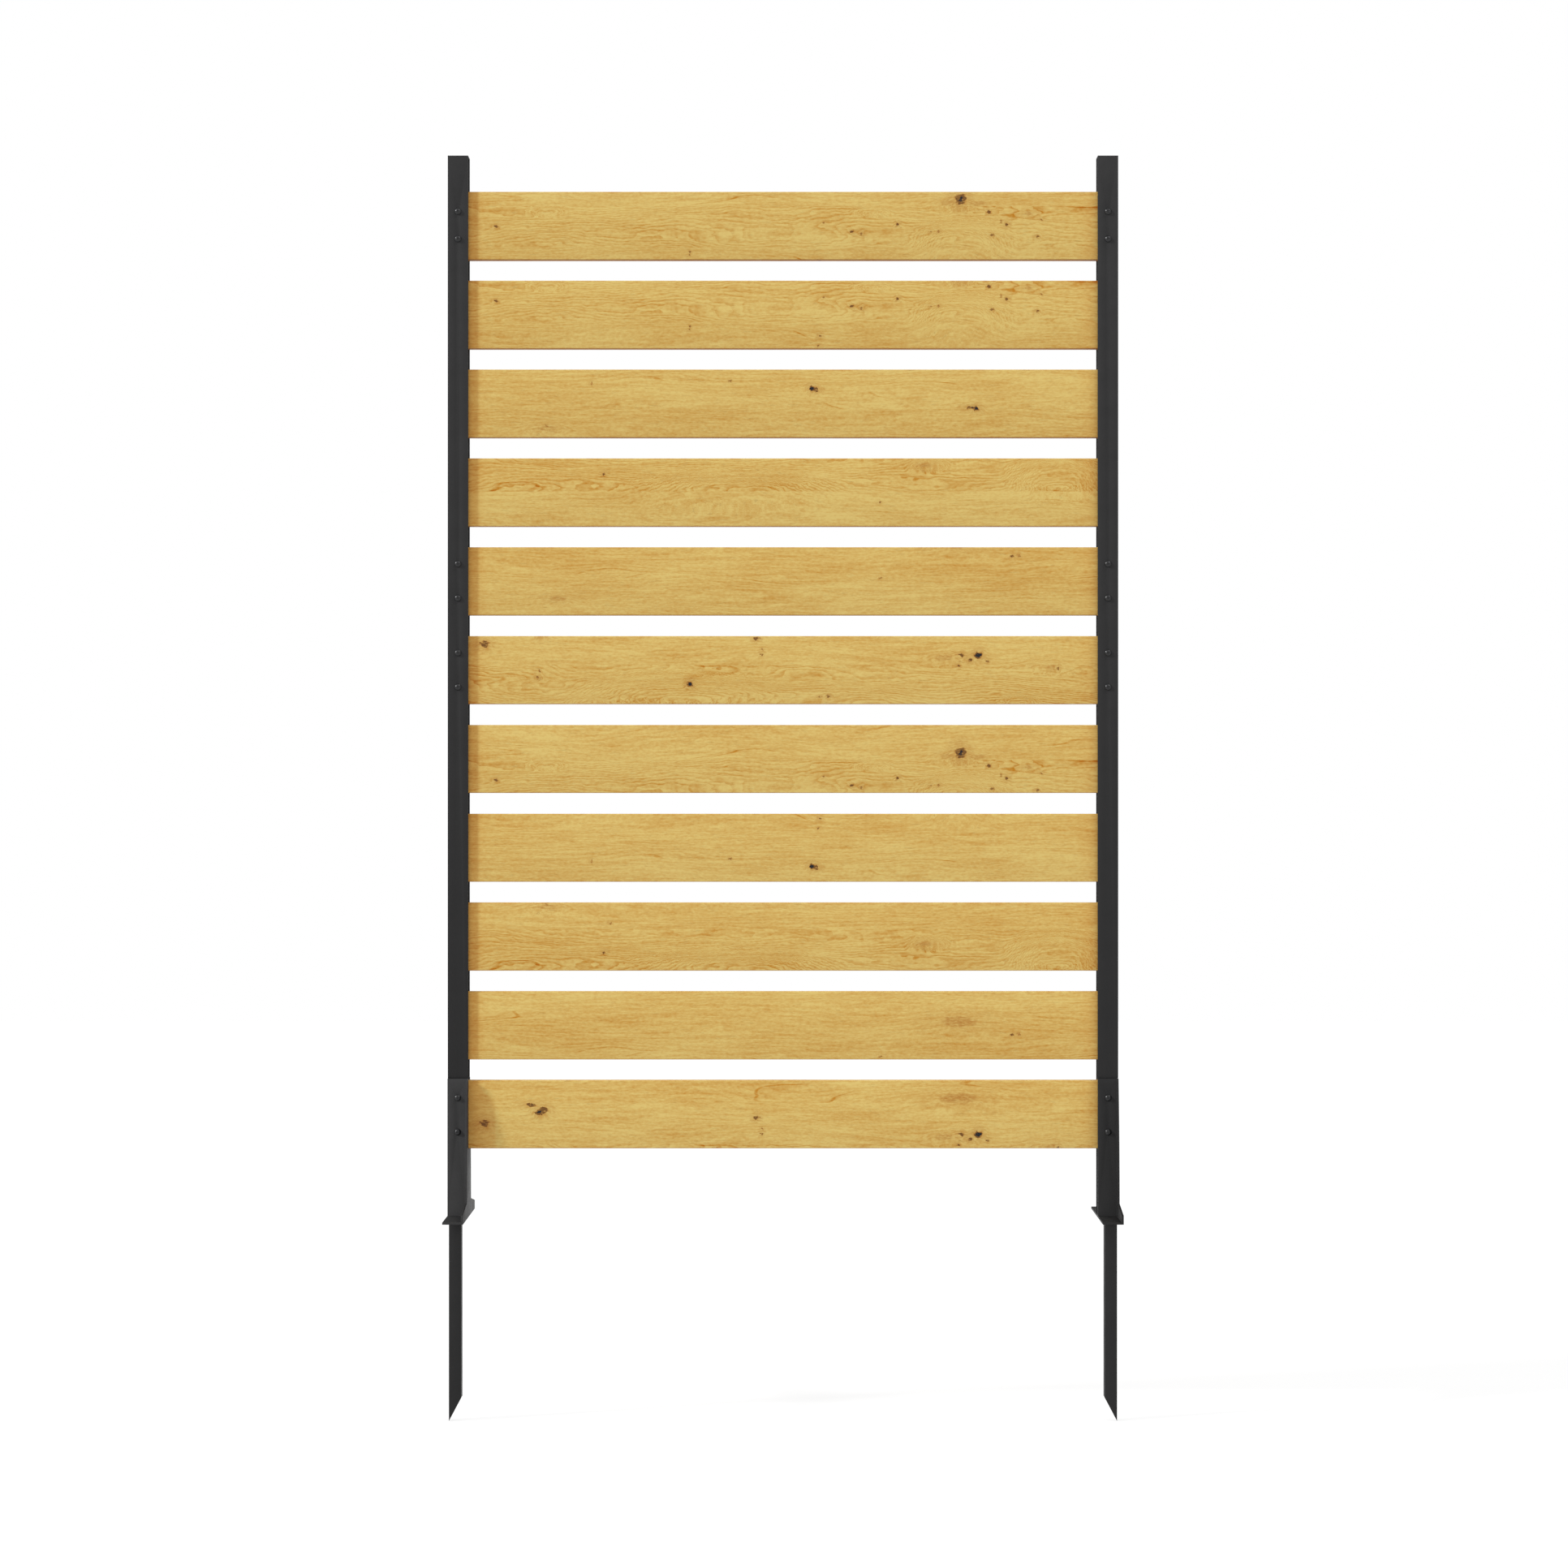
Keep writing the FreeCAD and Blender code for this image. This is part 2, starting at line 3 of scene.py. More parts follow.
import bmesh
import bpy
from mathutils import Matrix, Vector


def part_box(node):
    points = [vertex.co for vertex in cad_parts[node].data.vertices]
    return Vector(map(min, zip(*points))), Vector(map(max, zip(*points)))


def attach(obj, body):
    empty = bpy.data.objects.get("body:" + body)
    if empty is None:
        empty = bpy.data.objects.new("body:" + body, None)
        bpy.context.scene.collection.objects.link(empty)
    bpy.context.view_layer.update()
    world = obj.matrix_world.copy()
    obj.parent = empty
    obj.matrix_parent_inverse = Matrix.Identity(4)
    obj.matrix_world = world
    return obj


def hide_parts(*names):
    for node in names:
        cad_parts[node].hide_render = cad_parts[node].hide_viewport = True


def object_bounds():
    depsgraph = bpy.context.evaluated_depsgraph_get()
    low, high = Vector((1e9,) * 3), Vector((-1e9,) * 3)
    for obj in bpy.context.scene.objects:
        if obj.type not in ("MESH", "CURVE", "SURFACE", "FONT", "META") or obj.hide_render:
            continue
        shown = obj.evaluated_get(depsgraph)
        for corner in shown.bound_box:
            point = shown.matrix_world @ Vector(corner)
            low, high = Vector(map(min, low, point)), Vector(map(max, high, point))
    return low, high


bl_info = {
    "name": "Slatted Garden Screen",
    "version": (1, 0, 0),
    "blender": (4, 5, 0),
    "location": "View3D > Sidebar > Garden Screen",
    "description": "Finishes a slatted garden screen: boards, coated steel, fasteners and studio",
    "category": "Object",
}

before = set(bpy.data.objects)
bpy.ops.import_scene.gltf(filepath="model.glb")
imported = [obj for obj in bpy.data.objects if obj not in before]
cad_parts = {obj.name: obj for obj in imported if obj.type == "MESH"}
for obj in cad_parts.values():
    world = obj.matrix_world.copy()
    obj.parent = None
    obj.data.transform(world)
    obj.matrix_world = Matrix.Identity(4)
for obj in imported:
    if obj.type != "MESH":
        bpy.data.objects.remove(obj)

SIDES = ("left", "right")
SLAT_NODES = sorted(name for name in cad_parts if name.startswith("slat_"))
BOLTED_SLATS = ("slat_01", "slat_05", "slat_06", "slat_11")
MILLIMETRE = 0.001
PLANK_WIDTH = 60.3 * MILLIMETRE
FIRST_SEAM = 21 * MILLIMETRE
FIGURED_PLANKS = (0, 4, 13)     # planks of the sheet that were cut flat, counted from its top
CAD_LOW, CAD_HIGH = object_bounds()
POST_LOW, POST_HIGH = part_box("left_post")
BOARD_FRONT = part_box("slat_01")[0].y
NUT_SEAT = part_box("left_nuts")[0].y
POST_AXIS_X = -(POST_LOW.x + POST_HIGH.x) / 2

# The boards are cut from one long sheet of wood. Each starts this far down it, in millimetres,
# and neighbours that overlap there show the same figure.
BOARD_STARTS = {
    "slat_01": 0, "slat_02": 21, "slat_03": 144, "slat_04": 274, "slat_05": 525, "slat_06": 763,
    "slat_07": -30, "slat_08": 95, "slat_09": 224, "slat_10": 475, "slat_11": 712,
}

# Knots of the sheet: place along the board from its middle and place down the sheet, both in
# millimetres, then the kind.
KNOTS = (
    (260, 11, "big"), (243, 16, "soft"), (284, 17, "soft"), (301, 30, "pin"),
    (359, 32, "stain"), (379, 41, "dot"), (320, 44, "dot"), (61, 46, "dot"), (168, 48, "pin"),
    (327, 48, "pin"), (-420, 51, "pin"), (101, 59, "pin"), (114, 62, "pin"), (216, 58, "dot"),
    (228, 59, "dot"), (306, 63, "dot"), (372, 66, "pin"), (-136, 88, "dot"),
    (-137, 93, "dot"), (54, 102, "pin"), (52, 115, "dot"), (-77, 161, "dot"),
    (-280, 164, "dot"), (43, 172, "eye"), (48, 173, "small"), (283, 201, "eye"),
    (277, 200, "tail"), (-345, 230, "soft"), (-253, 254, "dot"), (207, 284, "soft"),
    (-262, 297, "pin"), (142, 338, "dot"), (258, 519, "smear"), (336, 538, "pin"),
    (346, 537, "dot"), (142, 570, "dot"), (257, 738, "smear"), (-369, 748, "tail"),
    (-351, 755, "brown"), (-357, 758, "black"), (-437, 775, "brown"), (-39, 767, "small"),
    (-32, 790, "pin"), (-30, 783, "dot"), (286, 791, "black"), (261, 791, "small"),
    (275, 798, "small"), (298, 800, "pin"), (257, 807, "pin"), (236, 795, "soft"),
    (403, 810, "pin"), (396, 809, "soft"), (-357, 815, "dot"), (-359, 824, "pin"),
    (-137, 833, "eye"), (66, 851, "pin"), (54, 852, "dot"), (-330, 600, "soft"),
    (-345, 226, "dot"), (130, 28, "loop"), (-345, 28, "loop"), (262, 76, "arch"),
    (-80, 322, "ridge"), (215, 284, "loop"), (400, 300, "arch"), (-150, 846, "ridge"),
    (-288, 858, "loop"), (344, 857, "loop"),
)

# Each kind of knot: half length and half height in millimetres, darkness of its heart, share
# of black cracks in it, and how far it pushes the growth rings aside.
KNOT_KINDS = {
    "dot": (2.1, 1.8, 0.58, 0.0, 0.3),
    "pin": (2.8, 2.3, 0.70, 0.1, 0.7),
    "small": (4.6, 3.4, 0.76, 0.5, 1.4),
    "tail": (8.5, 2.6, 0.74, 0.7, 1.0),
    "eye": (4.4, 3.8, 0.78, 2.0, 1.6),
    "brown": (7.6, 5.0, 0.78, 0.5, 2.2),
    "black": (6.2, 5.0, 0.86, 2.0, 1.8),
    "big": (8.6, 9.8, 0.80, 1.0, 2.6),
    "soft": (14.0, 4.5, 0.22, 0.0, 2.0),
    "stain": (8.0, 3.5, 0.25, 0.0, 0.6),
    "smear": (30.0, 8.5, 0.27, 0.0, 1.5),
    "loop": (11.0, 3.2, 0.0, 0.0, 4.0),
    "arch": (26.0, 14.0, 0.0, 0.0, 11.0),
    "ridge": (55.0, 11.0, 0.0, 0.0, 9.0),
}


# ------------------------------------------------------------------ what a user can change


class GardenScreenWood(bpy.types.PropertyGroup):
    edge_radius: bpy.props.FloatProperty(
        name="Edge Radius", description="Radius of the boards' long edges",
        default=1.3 * MILLIMETRE, min=0.0, unit="LENGTH",
    )
    unevenness: bpy.props.FloatProperty(
        name="Unevenness", description="Height of the gentle waves in the planed faces",
        default=0.12 * MILLIMETRE, min=0.0, unit="LENGTH",
    )
    light_colour: bpy.props.FloatVectorProperty(
        name="Light Wood", description="Colour of the wood between the growth rings",
        subtype="COLOR", size=3, default=(0.630, 0.442, 0.128), min=0.0, max=1.0,
    )
    ring_colour: bpy.props.FloatVectorProperty(
        name="Growth Rings", description="Colour of the growth rings",
        subtype="COLOR", size=3, default=(0.500, 0.245, 0.034), min=0.0, max=1.0,
    )
    knot_colour: bpy.props.FloatVectorProperty(
        name="Knots", description="Colour of the knots' hearts",
        subtype="COLOR", size=3, default=(0.150, 0.062, 0.008), min=0.0, max=1.0,
    )
    halo_colour: bpy.props.FloatVectorProperty(
        name="Knot Halo", description="Tint of the wood round the knots",
        subtype="COLOR", size=3, default=(0.74, 0.56, 0.40), min=0.0, max=1.0,
    )
    # Tint of the painted shade at the boards' ends beside the posts and of the painted shadow of the left
    # post.
    shade_tint_colour: bpy.props.FloatVectorProperty(
        name="Painted Shade Tint", description="Tint of the wood at the ends of the boards",
        subtype="COLOR", size=3, default=(0.90, 0.66, 0.43), min=0.0, max=1.0,
    )
    # Tint of the painted shade on the boards' undersides.
    underside_shade_tint: bpy.props.FloatVectorProperty(
        name="Undersides", description="Tint of the undersides of the boards, as painted shade",
        subtype="COLOR", size=3, default=(0.60, 0.38, 0.16), min=0.0, max=1.0,
    )
    ring_spacing: bpy.props.FloatProperty(
        name="Ring Spacing", description="Distance between growth rings on straight grain",
        default=6.5 * MILLIMETRE, min=0.001, unit="LENGTH",
    )


class GardenScreenMetal(bpy.types.PropertyGroup):
    coat_colour: bpy.props.FloatVectorProperty(
        name="Powder Coat", description="Colour of the powder coat on posts and feet",
        subtype="COLOR", size=3, default=(0.0190, 0.0187, 0.0190), min=0.0, max=1.0,
    )
    # Painted light and shade: the left foot's coat is made paler and the right foot's darker than the
    # posts'.
    painted_foot_shades: bpy.props.FloatVectorProperty(
        name="Painted Foot Shades", description="Brightness of the left and the right foot's coat",
        size=2, default=(1.85, 0.83), min=0.0,
    )
    screw_colour: bpy.props.FloatVectorProperty(
        name="Screw Coat", description="Colour of the black coated screws",
        subtype="COLOR", size=3, default=(0.010, 0.010, 0.011), min=0.0, max=1.0,
    )
    zinc_colour: bpy.props.FloatVectorProperty(
        name="Zinc", description="Colour of the plated washers and nuts",
        subtype="COLOR", size=3, default=(0.56, 0.57, 0.59), min=0.0, max=1.0,
    )
    spacer_colour: bpy.props.FloatVectorProperty(
        name="Spacers", description="Colour of the moulded spacers",
        subtype="COLOR", size=3, default=(0.016, 0.016, 0.017), min=0.0, max=1.0,
    )
    edge_break: bpy.props.FloatProperty(
        name="Edge Break", description="Width of the rounding on cut sheet edges",
        default=0.3 * MILLIMETRE, min=0.0, unit="LENGTH",
    )


class GardenScreenFasteners(bpy.types.PropertyGroup):
    head_diameter: bpy.props.FloatProperty(
        name="Head Diameter", description="Diameter of the domed screw heads",
        default=9.5 * MILLIMETRE, min=0.001, unit="LENGTH",
    )
    head_height: bpy.props.FloatProperty(
        name="Head Height", description="Height of the domed screw heads",
        default=2.75 * MILLIMETRE, min=0.001, unit="LENGTH",
    )
    key_size: bpy.props.FloatProperty(
        name="Key Size", description="Hexagon socket of the screws, across flats",
        default=3.0 * MILLIMETRE, min=0.001, unit="LENGTH",
    )
    shank_diameter: bpy.props.FloatProperty(
        name="Shank Diameter", description="Outer diameter of the thread",
        default=5.0 * MILLIMETRE, min=0.001, unit="LENGTH",
    )
    shank_length: bpy.props.FloatProperty(
        name="Shank Length", description="Length of a screw under its head",
        default=35.0 * MILLIMETRE, min=0.001, unit="LENGTH",
    )
    thread_pitch: bpy.props.FloatProperty(
        name="Thread Pitch", description="Distance between the turns of the thread",
        default=0.8 * MILLIMETRE, min=0.0002, unit="LENGTH",
    )
    nut_size: bpy.props.FloatProperty(
        name="Nut Size", description="Lock nut, across flats",
        default=8.0 * MILLIMETRE, min=0.001, unit="LENGTH",
    )
    nut_height: bpy.props.FloatProperty(
        name="Nut Height", description="Lock nut with its collar",
        default=5.0 * MILLIMETRE, min=0.001, unit="LENGTH",
    )
    washer_diameter: bpy.props.FloatProperty(
        name="Washer Diameter", description="Outside of the washers",
        default=10.0 * MILLIMETRE, min=0.001, unit="LENGTH",
    )
    washer_height: bpy.props.FloatProperty(
        name="Washer Height", description="Thickness of the washers",
        default=1.0 * MILLIMETRE, min=0.0002, unit="LENGTH",
    )


class GardenScreenStage(bpy.types.PropertyGroup):
    camera_x: bpy.props.FloatProperty(
        name="Camera X", description="Camera to the right of the screen's middle",
        default=0.0015, unit="LENGTH",
    )
    camera_height: bpy.props.FloatProperty(
        name="Camera Height", description="Camera above ground level",
        default=0.6336, unit="LENGTH",
    )
    camera_distance: bpy.props.FloatProperty(
        name="Camera Distance", description="Camera to the front of the posts",
        default=4.760, unit="LENGTH",
    )
    focal_length: bpy.props.FloatProperty(
        name="Focal Length", description="Lens for a 36 mm sensor",
        default=74.79, min=1.0, unit="CAMERA",
    )
    sky_strength: bpy.props.FloatProperty(
        name="Sky Strength", description="Strength of the soft light from all round",
        default=0.75, min=0.0,
    )
    key_strength: bpy.props.FloatProperty(
        name="Key Strength", description="Strength of the light from the left",
        default=2.3, min=0.0,
    )
    key_softness: bpy.props.FloatProperty(
        name="Key Softness", description="Angle that the light from the left spreads over",
        default=math.radians(6.0), min=0.0, subtype="ANGLE",
    )
    fill_strength: bpy.props.FloatProperty(
        name="Fill Strength", description="Strength of the weak light from the upper right",
        default=0.6, min=0.0,
    )


PROPERTY_GROUPS = {
    "garden_screen_wood": GardenScreenWood,
    "garden_screen_metal": GardenScreenMetal,
    "garden_screen_fasteners": GardenScreenFasteners,
    "garden_screen_stage": GardenScreenStage,
}


# ------------------------------------------------------------------ node helpers


def add_node(tree, kind, inputs=None, **settings):
    """A node with its settings, and values or sockets for its named or numbered inputs."""
    node = tree.nodes.new(kind)
    for name, value in settings.items():
        setattr(node, name, value)
    for key, value in (inputs or {}).items():
        socket = node.inputs[key]
        if isinstance(value, bpy.types.NodeSocket):
            tree.links.new(value, socket)
        else:
            socket.default_value = value
    return node


def calculate(tree, operation, first, second=0.0, third=0.0, clamp=False):
    """One step of arithmetic on numbers."""
    inputs = {0: first, 1: second, 2: third}
    node = add_node(tree, "ShaderNodeMath", inputs, operation=operation, use_clamp=clamp)
    return node.outputs[0]


def vector_step(tree, operation, first, second=(0.0, 0.0, 0.0)):
    """One step of arithmetic on vectors."""
    node = add_node(tree, "ShaderNodeVectorMath", {0: first, 1: second}, operation=operation)
    return node.outputs["Value"] if operation == "LENGTH" else node.outputs["Vector"]


def combine(tree, x=0.0, y=0.0, z=0.0):
    return add_node(tree, "ShaderNodeCombineXYZ", {"X": x, "Y": y, "Z": z}).outputs[0]


def noise(tree, position, scale, detail=2.0, roughness=0.5, distortion=0.0):
    """A noise from 0 to 1."""
    inputs = {
        "Vector": position, "Scale": scale, "Detail": detail,
        "Roughness": roughness, "Distortion": distortion,
    }
    return add_node(tree, "ShaderNodeTexNoise", inputs).outputs["Fac"]


def stretched(tree, position, x, y, z):
    return vector_step(tree, "MULTIPLY", position, (x, y, z))


def ramp_between(tree, value, low, high, to_low=0.0, to_high=1.0):
    """The value's way from low to high, smoothly, as a number from to_low to to_high."""
    inputs = {"Value": value, "From Min": low, "From Max": high,
              "To Min": to_low, "To Max": to_high}
    node = add_node(tree, "ShaderNodeMapRange", inputs, interpolation_type="SMOOTHSTEP")
    return node.outputs["Result"]


def mix_colours(tree, share, first, second, blend="MIX"):
    node = add_node(tree, "ShaderNodeMix", {"Factor": share}, data_type="RGBA", blend_type=blend)
    for socket, value in ((node.inputs[6], first), (node.inputs[7], second)):
        if isinstance(value, bpy.types.NodeSocket):
            tree.links.new(value, socket)
        else:
            socket.default_value = (*value, 1.0)
    return node.outputs[2]


def new_material(name):
    """A material with a bare principled shader; returns its tree and the shader."""
    material = bpy.data.materials.new(name)
    material.use_nodes = True
    tree = material.node_tree
    tree.nodes.clear()
    shader = add_node(tree, "ShaderNodeBsdfPrincipled")
    output = add_node(tree, "ShaderNodeOutputMaterial")
    tree.links.new(shader.outputs["BSDF"], output.inputs["Surface"])
    return material, tree, shader


def object_position(tree):
    return add_node(tree, "ShaderNodeTexCoord").outputs["Object"]


def bump(tree, shader, height, distance, strength=1.0):
    inputs = {"Height": height, "Distance": distance, "Strength": strength}
    node = add_node(tree, "ShaderNodeBump", inputs)
    tree.links.new(node.outputs["Normal"], shader.inputs["Normal"])


# ------------------------------------------------------------------ wood


def knot_group():
    """A node group for one knot: it adds its swelling to the growth rings and its own darkness
    and cracks to those of the knots before it."""
    group = bpy.data.node_groups.new("Knot", "ShaderNodeTree")
    face = group.interface
    for name, kind in (
        ("Position", "NodeSocketVector"), ("Centre", "NodeSocketVector"),
        ("Reach", "NodeSocketVector"), ("Heart", "NodeSocketFloat"),
        ("Cracks", "NodeSocketFloat"), ("Push", "NodeSocketFloat"),
        ("Swelling", "NodeSocketFloat"), ("Darkness", "NodeSocketFloat"),
        ("Black", "NodeSocketFloat"),
    ):
        face.new_socket(name, in_out="INPUT", socket_type=kind)
    for name in ("Swelling", "Darkness", "Black"):
        face.new_socket(name, in_out="OUTPUT", socket_type="NodeSocketFloat")
    given = group.nodes.new("NodeGroupInput").outputs
    away = vector_step(group, "SUBTRACT", given["Position"], given["Centre"])
    away = vector_step(group, "DIVIDE", away, given["Reach"])
    distance = vector_step(group, "LENGTH", away)
    heart = ramp_between(group, distance, 1.2, 0.6)
    halo = ramp_between(group, distance, 3.4, 0.8)
    centre = ramp_between(group, distance, 0.75, 0.2)
    swell = calculate(group, "MULTIPLY", halo, given["Push"])
    shade = calculate(group, "MULTIPLY", heart, given["Heart"])
    glow = calculate(group, "MULTIPLY", halo, calculate(group, "MULTIPLY", given["Heart"], 0.22))
    shade = calculate(group, "MAXIMUM", shade, glow)
    black = calculate(group, "MULTIPLY", centre, given["Cracks"])
    result = group.nodes.new("NodeGroupOutput").inputs
    group.links.new(calculate(group, "ADD", given["Swelling"], swell), result["Swelling"])
    group.links.new(calculate(group, "MAXIMUM", given["Darkness"], shade), result["Darkness"])
    group.links.new(calculate(group, "MAXIMUM", given["Black"], black), result["Black"])
    return group


def board_material(wood):
    """Oiled wood: growth rings as contour lines of a stretched, uneven field, with fibres,
    pores and knots. The attribute sheet_top says where a board lies on the sheet of wood."""
    material, tree, shader = new_material("oiled_wood")
    place = add_node(tree, "ShaderNodeSeparateXYZ", {"Vector": object_position(tree)})
    top = add_node(tree, "ShaderNodeAttribute", attribute_name="sheet_top").outputs["Fac"]
    down = calculate(tree, "SUBTRACT", top, place.outputs["Z"])
    depth = calculate(tree, "MULTIPLY", place.outputs["Y"], 0.35)
    sheet = combine(tree, place.outputs["X"], depth, down)

    # The rings lie aslant in the wood, so that their lines run on over the boards' edges.
    across = calculate(tree, "SUBTRACT", place.outputs["Y"], BOARD_FRONT)
    layer = calculate(tree, "MULTIPLY_ADD", across, 0.9, down)

    # Planks glued edge to edge: the figure jumps from one to the next.
    plank = calculate(tree, "SUBTRACT", layer, FIRST_SEAM)
    plank = calculate(tree, "DIVIDE", plank, PLANK_WIDTH)
    plank_number = calculate(tree, "FLOOR", plank)
    jump = calculate(tree, "MULTIPLY", plank_number, 1.37)
    tone = calculate(tree, "FRACT", calculate(tree, "MULTIPLY", plank_number, 0.618))
    figure = combine(tree, calculate(tree, "ADD", place.outputs["X"], jump), depth, layer)
    figured = 0.0
    for number in FIGURED_PLANKS:
        same = calculate(tree, "COMPARE", plank_number, number, 0.5)
        figured = calculate(tree, "MAXIMUM", figured, same)

    # Knots have ragged outlines.
    wobble = add_node(
        tree, "ShaderNodeTexNoise", {"Vector": sheet, "Scale": 210.0, "Detail": 2.5}
    )
    wobble = vector_step(tree, "SUBTRACT", wobble.outputs["Color"], (0.5, 0.5, 0.5))
    wobble = vector_step(tree, "MULTIPLY", wobble, (0.011, 0.0, 0.008))
    ragged = vector_step(tree, "ADD", sheet, wobble)
    flat = vector_step(tree, "MULTIPLY", ragged, (1.0, 0.0, 1.0))
    group = knot_group()
    swelling, darkness, black = 0.0, 0.0, 0.0
    for along, below, kind in KNOTS:
        half_length, half_height, heart, cracks, push = KNOT_KINDS[kind]
        knot = add_node(tree, "ShaderNodeGroup", node_tree=group)
        values = {
            "Position": flat,
            "Centre": (along * MILLIMETRE, 0.0, below * MILLIMETRE),
            "Reach": (half_length * MILLIMETRE, 1.0, half_height * MILLIMETRE),
            "Heart": heart, "Cracks": cracks, "Push": push,
            "Swelling": swelling, "Darkness": darkness, "Black": black,
        }
        for name, value in values.items():
            if isinstance(value, bpy.types.NodeSocket):
                tree.links.new(value, knot.inputs[name])
            else:
                knot.inputs[name].default_value = value
        swelling, darkness, black = (knot.outputs[n] for n in ("Swelling", "Darkness", "Black"))

    # Growth rings: contour lines of a field that is stretched along the board.
    broad = noise(tree, stretched(tree, figure, 2.6, 8.0, 19.0), 1.0, 1.5, 0.45)
    curl = noise(tree, stretched(tree, figure, 13.0, 30.0, 62.0), 1.0, 2.0, 0.5)
    hills = noise(tree, stretched(tree, figure, 5.0, 8.0, 24.0), 1.0, 1.0, 0.4)
    ripple = noise(tree, stretched(tree, figure, 48.0, 30.0, 100.0), 1.0, 1.0)
    straight = calculate(tree, "DIVIDE", layer, wood.ring_spacing)
    rings = calculate(tree, "MULTIPLY_ADD", broad, 16.0, straight)
    rings = calculate(tree, "MULTIPLY_ADD", curl, 2.2, rings)
    lively = calculate(tree, "MULTIPLY", calculate(tree, "SUBTRACT", hills, 0.5), 11.0)
    lively = calculate(tree, "MULTIPLY_ADD", ripple, 1.5, lively)
    rings = calculate(tree, "MULTIPLY_ADD", lively, figured, rings)
    rings = calculate(tree, "ADD", rings, swelling)
    saw = calculate(tree, "FRACT", rings)
    late = ramp_between(tree, saw, 0.3, 0.9)
    early_edge = ramp_between(tree, saw, 1.0, 0.92)
    line = calculate(tree, "MULTIPLY", late, early_edge)
    patchy = noise(tree, stretched(tree, figure, 5.0, 9.0, 24.0), 1.0, 2.0)
    strength = calculate(tree, "MULTIPLY_ADD", figured, 0.75, 0.45)
    line = calculate(tree, "MULTIPLY", line, strength)
    clear = ramp_between(tree, patchy, 0.3, 0.7, 0.15, 1.05)
    clear = calculate(tree, "MAXIMUM", clear, calculate(tree, "MULTIPLY", figured, 0.6))
    line = calculate(tree, "MULTIPLY", line, clear)
    wandering = calculate(tree, "MULTIPLY", layer, 13.0)
    wandering = calculate(tree, "MULTIPLY_ADD", broad, 3.1, wandering)
    wandering = calculate(tree, "MULTIPLY_ADD", curl, 0.12, wandering)
    wandering = calculate(tree, "PINGPONG", wandering, 0.5)
    vein = ramp_between(tree, wandering, 0.022, 0.004)
    vein = calculate(tree, "MULTIPLY", vein, ramp_between(tree, patchy, 0.5, 0.62))

    # Fibres and tones, from broad clouds down to single pores.
    bent = calculate(tree, "MULTIPLY_ADD", broad, 0.028, layer)
    bent = calculate(tree, "MULTIPLY_ADD", swelling, 0.0016, bent)
    along = combine(tree, calculate(tree, "ADD", place.outputs["X"], jump), depth, bent)
    fibre = noise(tree, stretched(tree, along, 40.0, 200.0, 480.0), 1.0, 3.0, 0.6)
    streak = noise(tree, stretched(tree, along, 9.0, 60.0, 165.0), 1.0, 3.0, 0.6)
    speck = noise(tree, stretched(tree, along, 170.0, 300.0, 420.0), 1.0, 2.0, 0.6)
    cloud = noise(tree, stretched(tree, sheet, 4.5, 5.0, 22.0), 1.0, 2.0)
    share = calculate(tree, "MULTIPLY_ADD", line, 0.62, 0.17)
    for pattern, weight in ((fibre, 1.2), (streak, 1.2), (speck, 1.35), (cloud, 0.85)):
        centred = calculate(tree, "SUBTRACT", pattern, 0.5)
        share = calculate(tree, "MULTIPLY_ADD", centred, weight, share)
    share = calculate(tree, "MULTIPLY_ADD", calculate(tree, "SUBTRACT", tone, 0.5), 0.22, share)
    share = calculate(tree, "MULTIPLY_ADD", vein, 0.75, share)
    share = calculate(tree, "MINIMUM", calculate(tree, "MAXIMUM", share, -0.2), 1.6)
    light = tuple(wood.light_colour)
    ring = tuple(wood.ring_colour)
    node = add_node(tree, "ShaderNodeMix", {"Factor": share}, data_type="RGBA", clamp_factor=False)
    node.inputs[6].default_value = (*light, 1.0)
    node.inputs[7].default_value = (*ring, 1.0)
    colour = node.outputs[2]
    pore = noise(tree, stretched(tree, along, 75.0, 500.0, 1100.0), 1.0)
    pore = ramp_between(tree, pore, 0.64, 0.73)
    heart = tuple(wood.knot_colour)
    colour = mix_colours(tree, calculate(tree, "MULTIPLY", pore, 0.2), colour, heart)
    speckled = ramp_between(tree, speck, 0.3, 0.6, 0.75, 1.35)
    speckled = calculate(tree, "MULTIPLY", darkness, speckled)
    warm = calculate(tree, "MULTIPLY", speckled, 2.2, clamp=True)
    colour = mix_colours(tree, warm, colour, tuple(wood.halo_colour), "MULTIPLY")
    colour = mix_colours(tree, ramp_between(tree, speckled, 0.4, 0.95), colour, heart)
    crumbs = noise(tree, stretched(tree, sheet, 420.0, 420.0, 420.0), 1.0, 2.0)
    crumbs = calculate(tree, "SUBTRACT", crumbs, 0.5)
    hollow = calculate(tree, "MULTIPLY_ADD", crumbs, 2.4, black)
    hollow = ramp_between(tree, hollow, 0.75, 1.0)
    colour = mix_colours(tree, hollow, colour, (0.006, 0.006, 0.008))
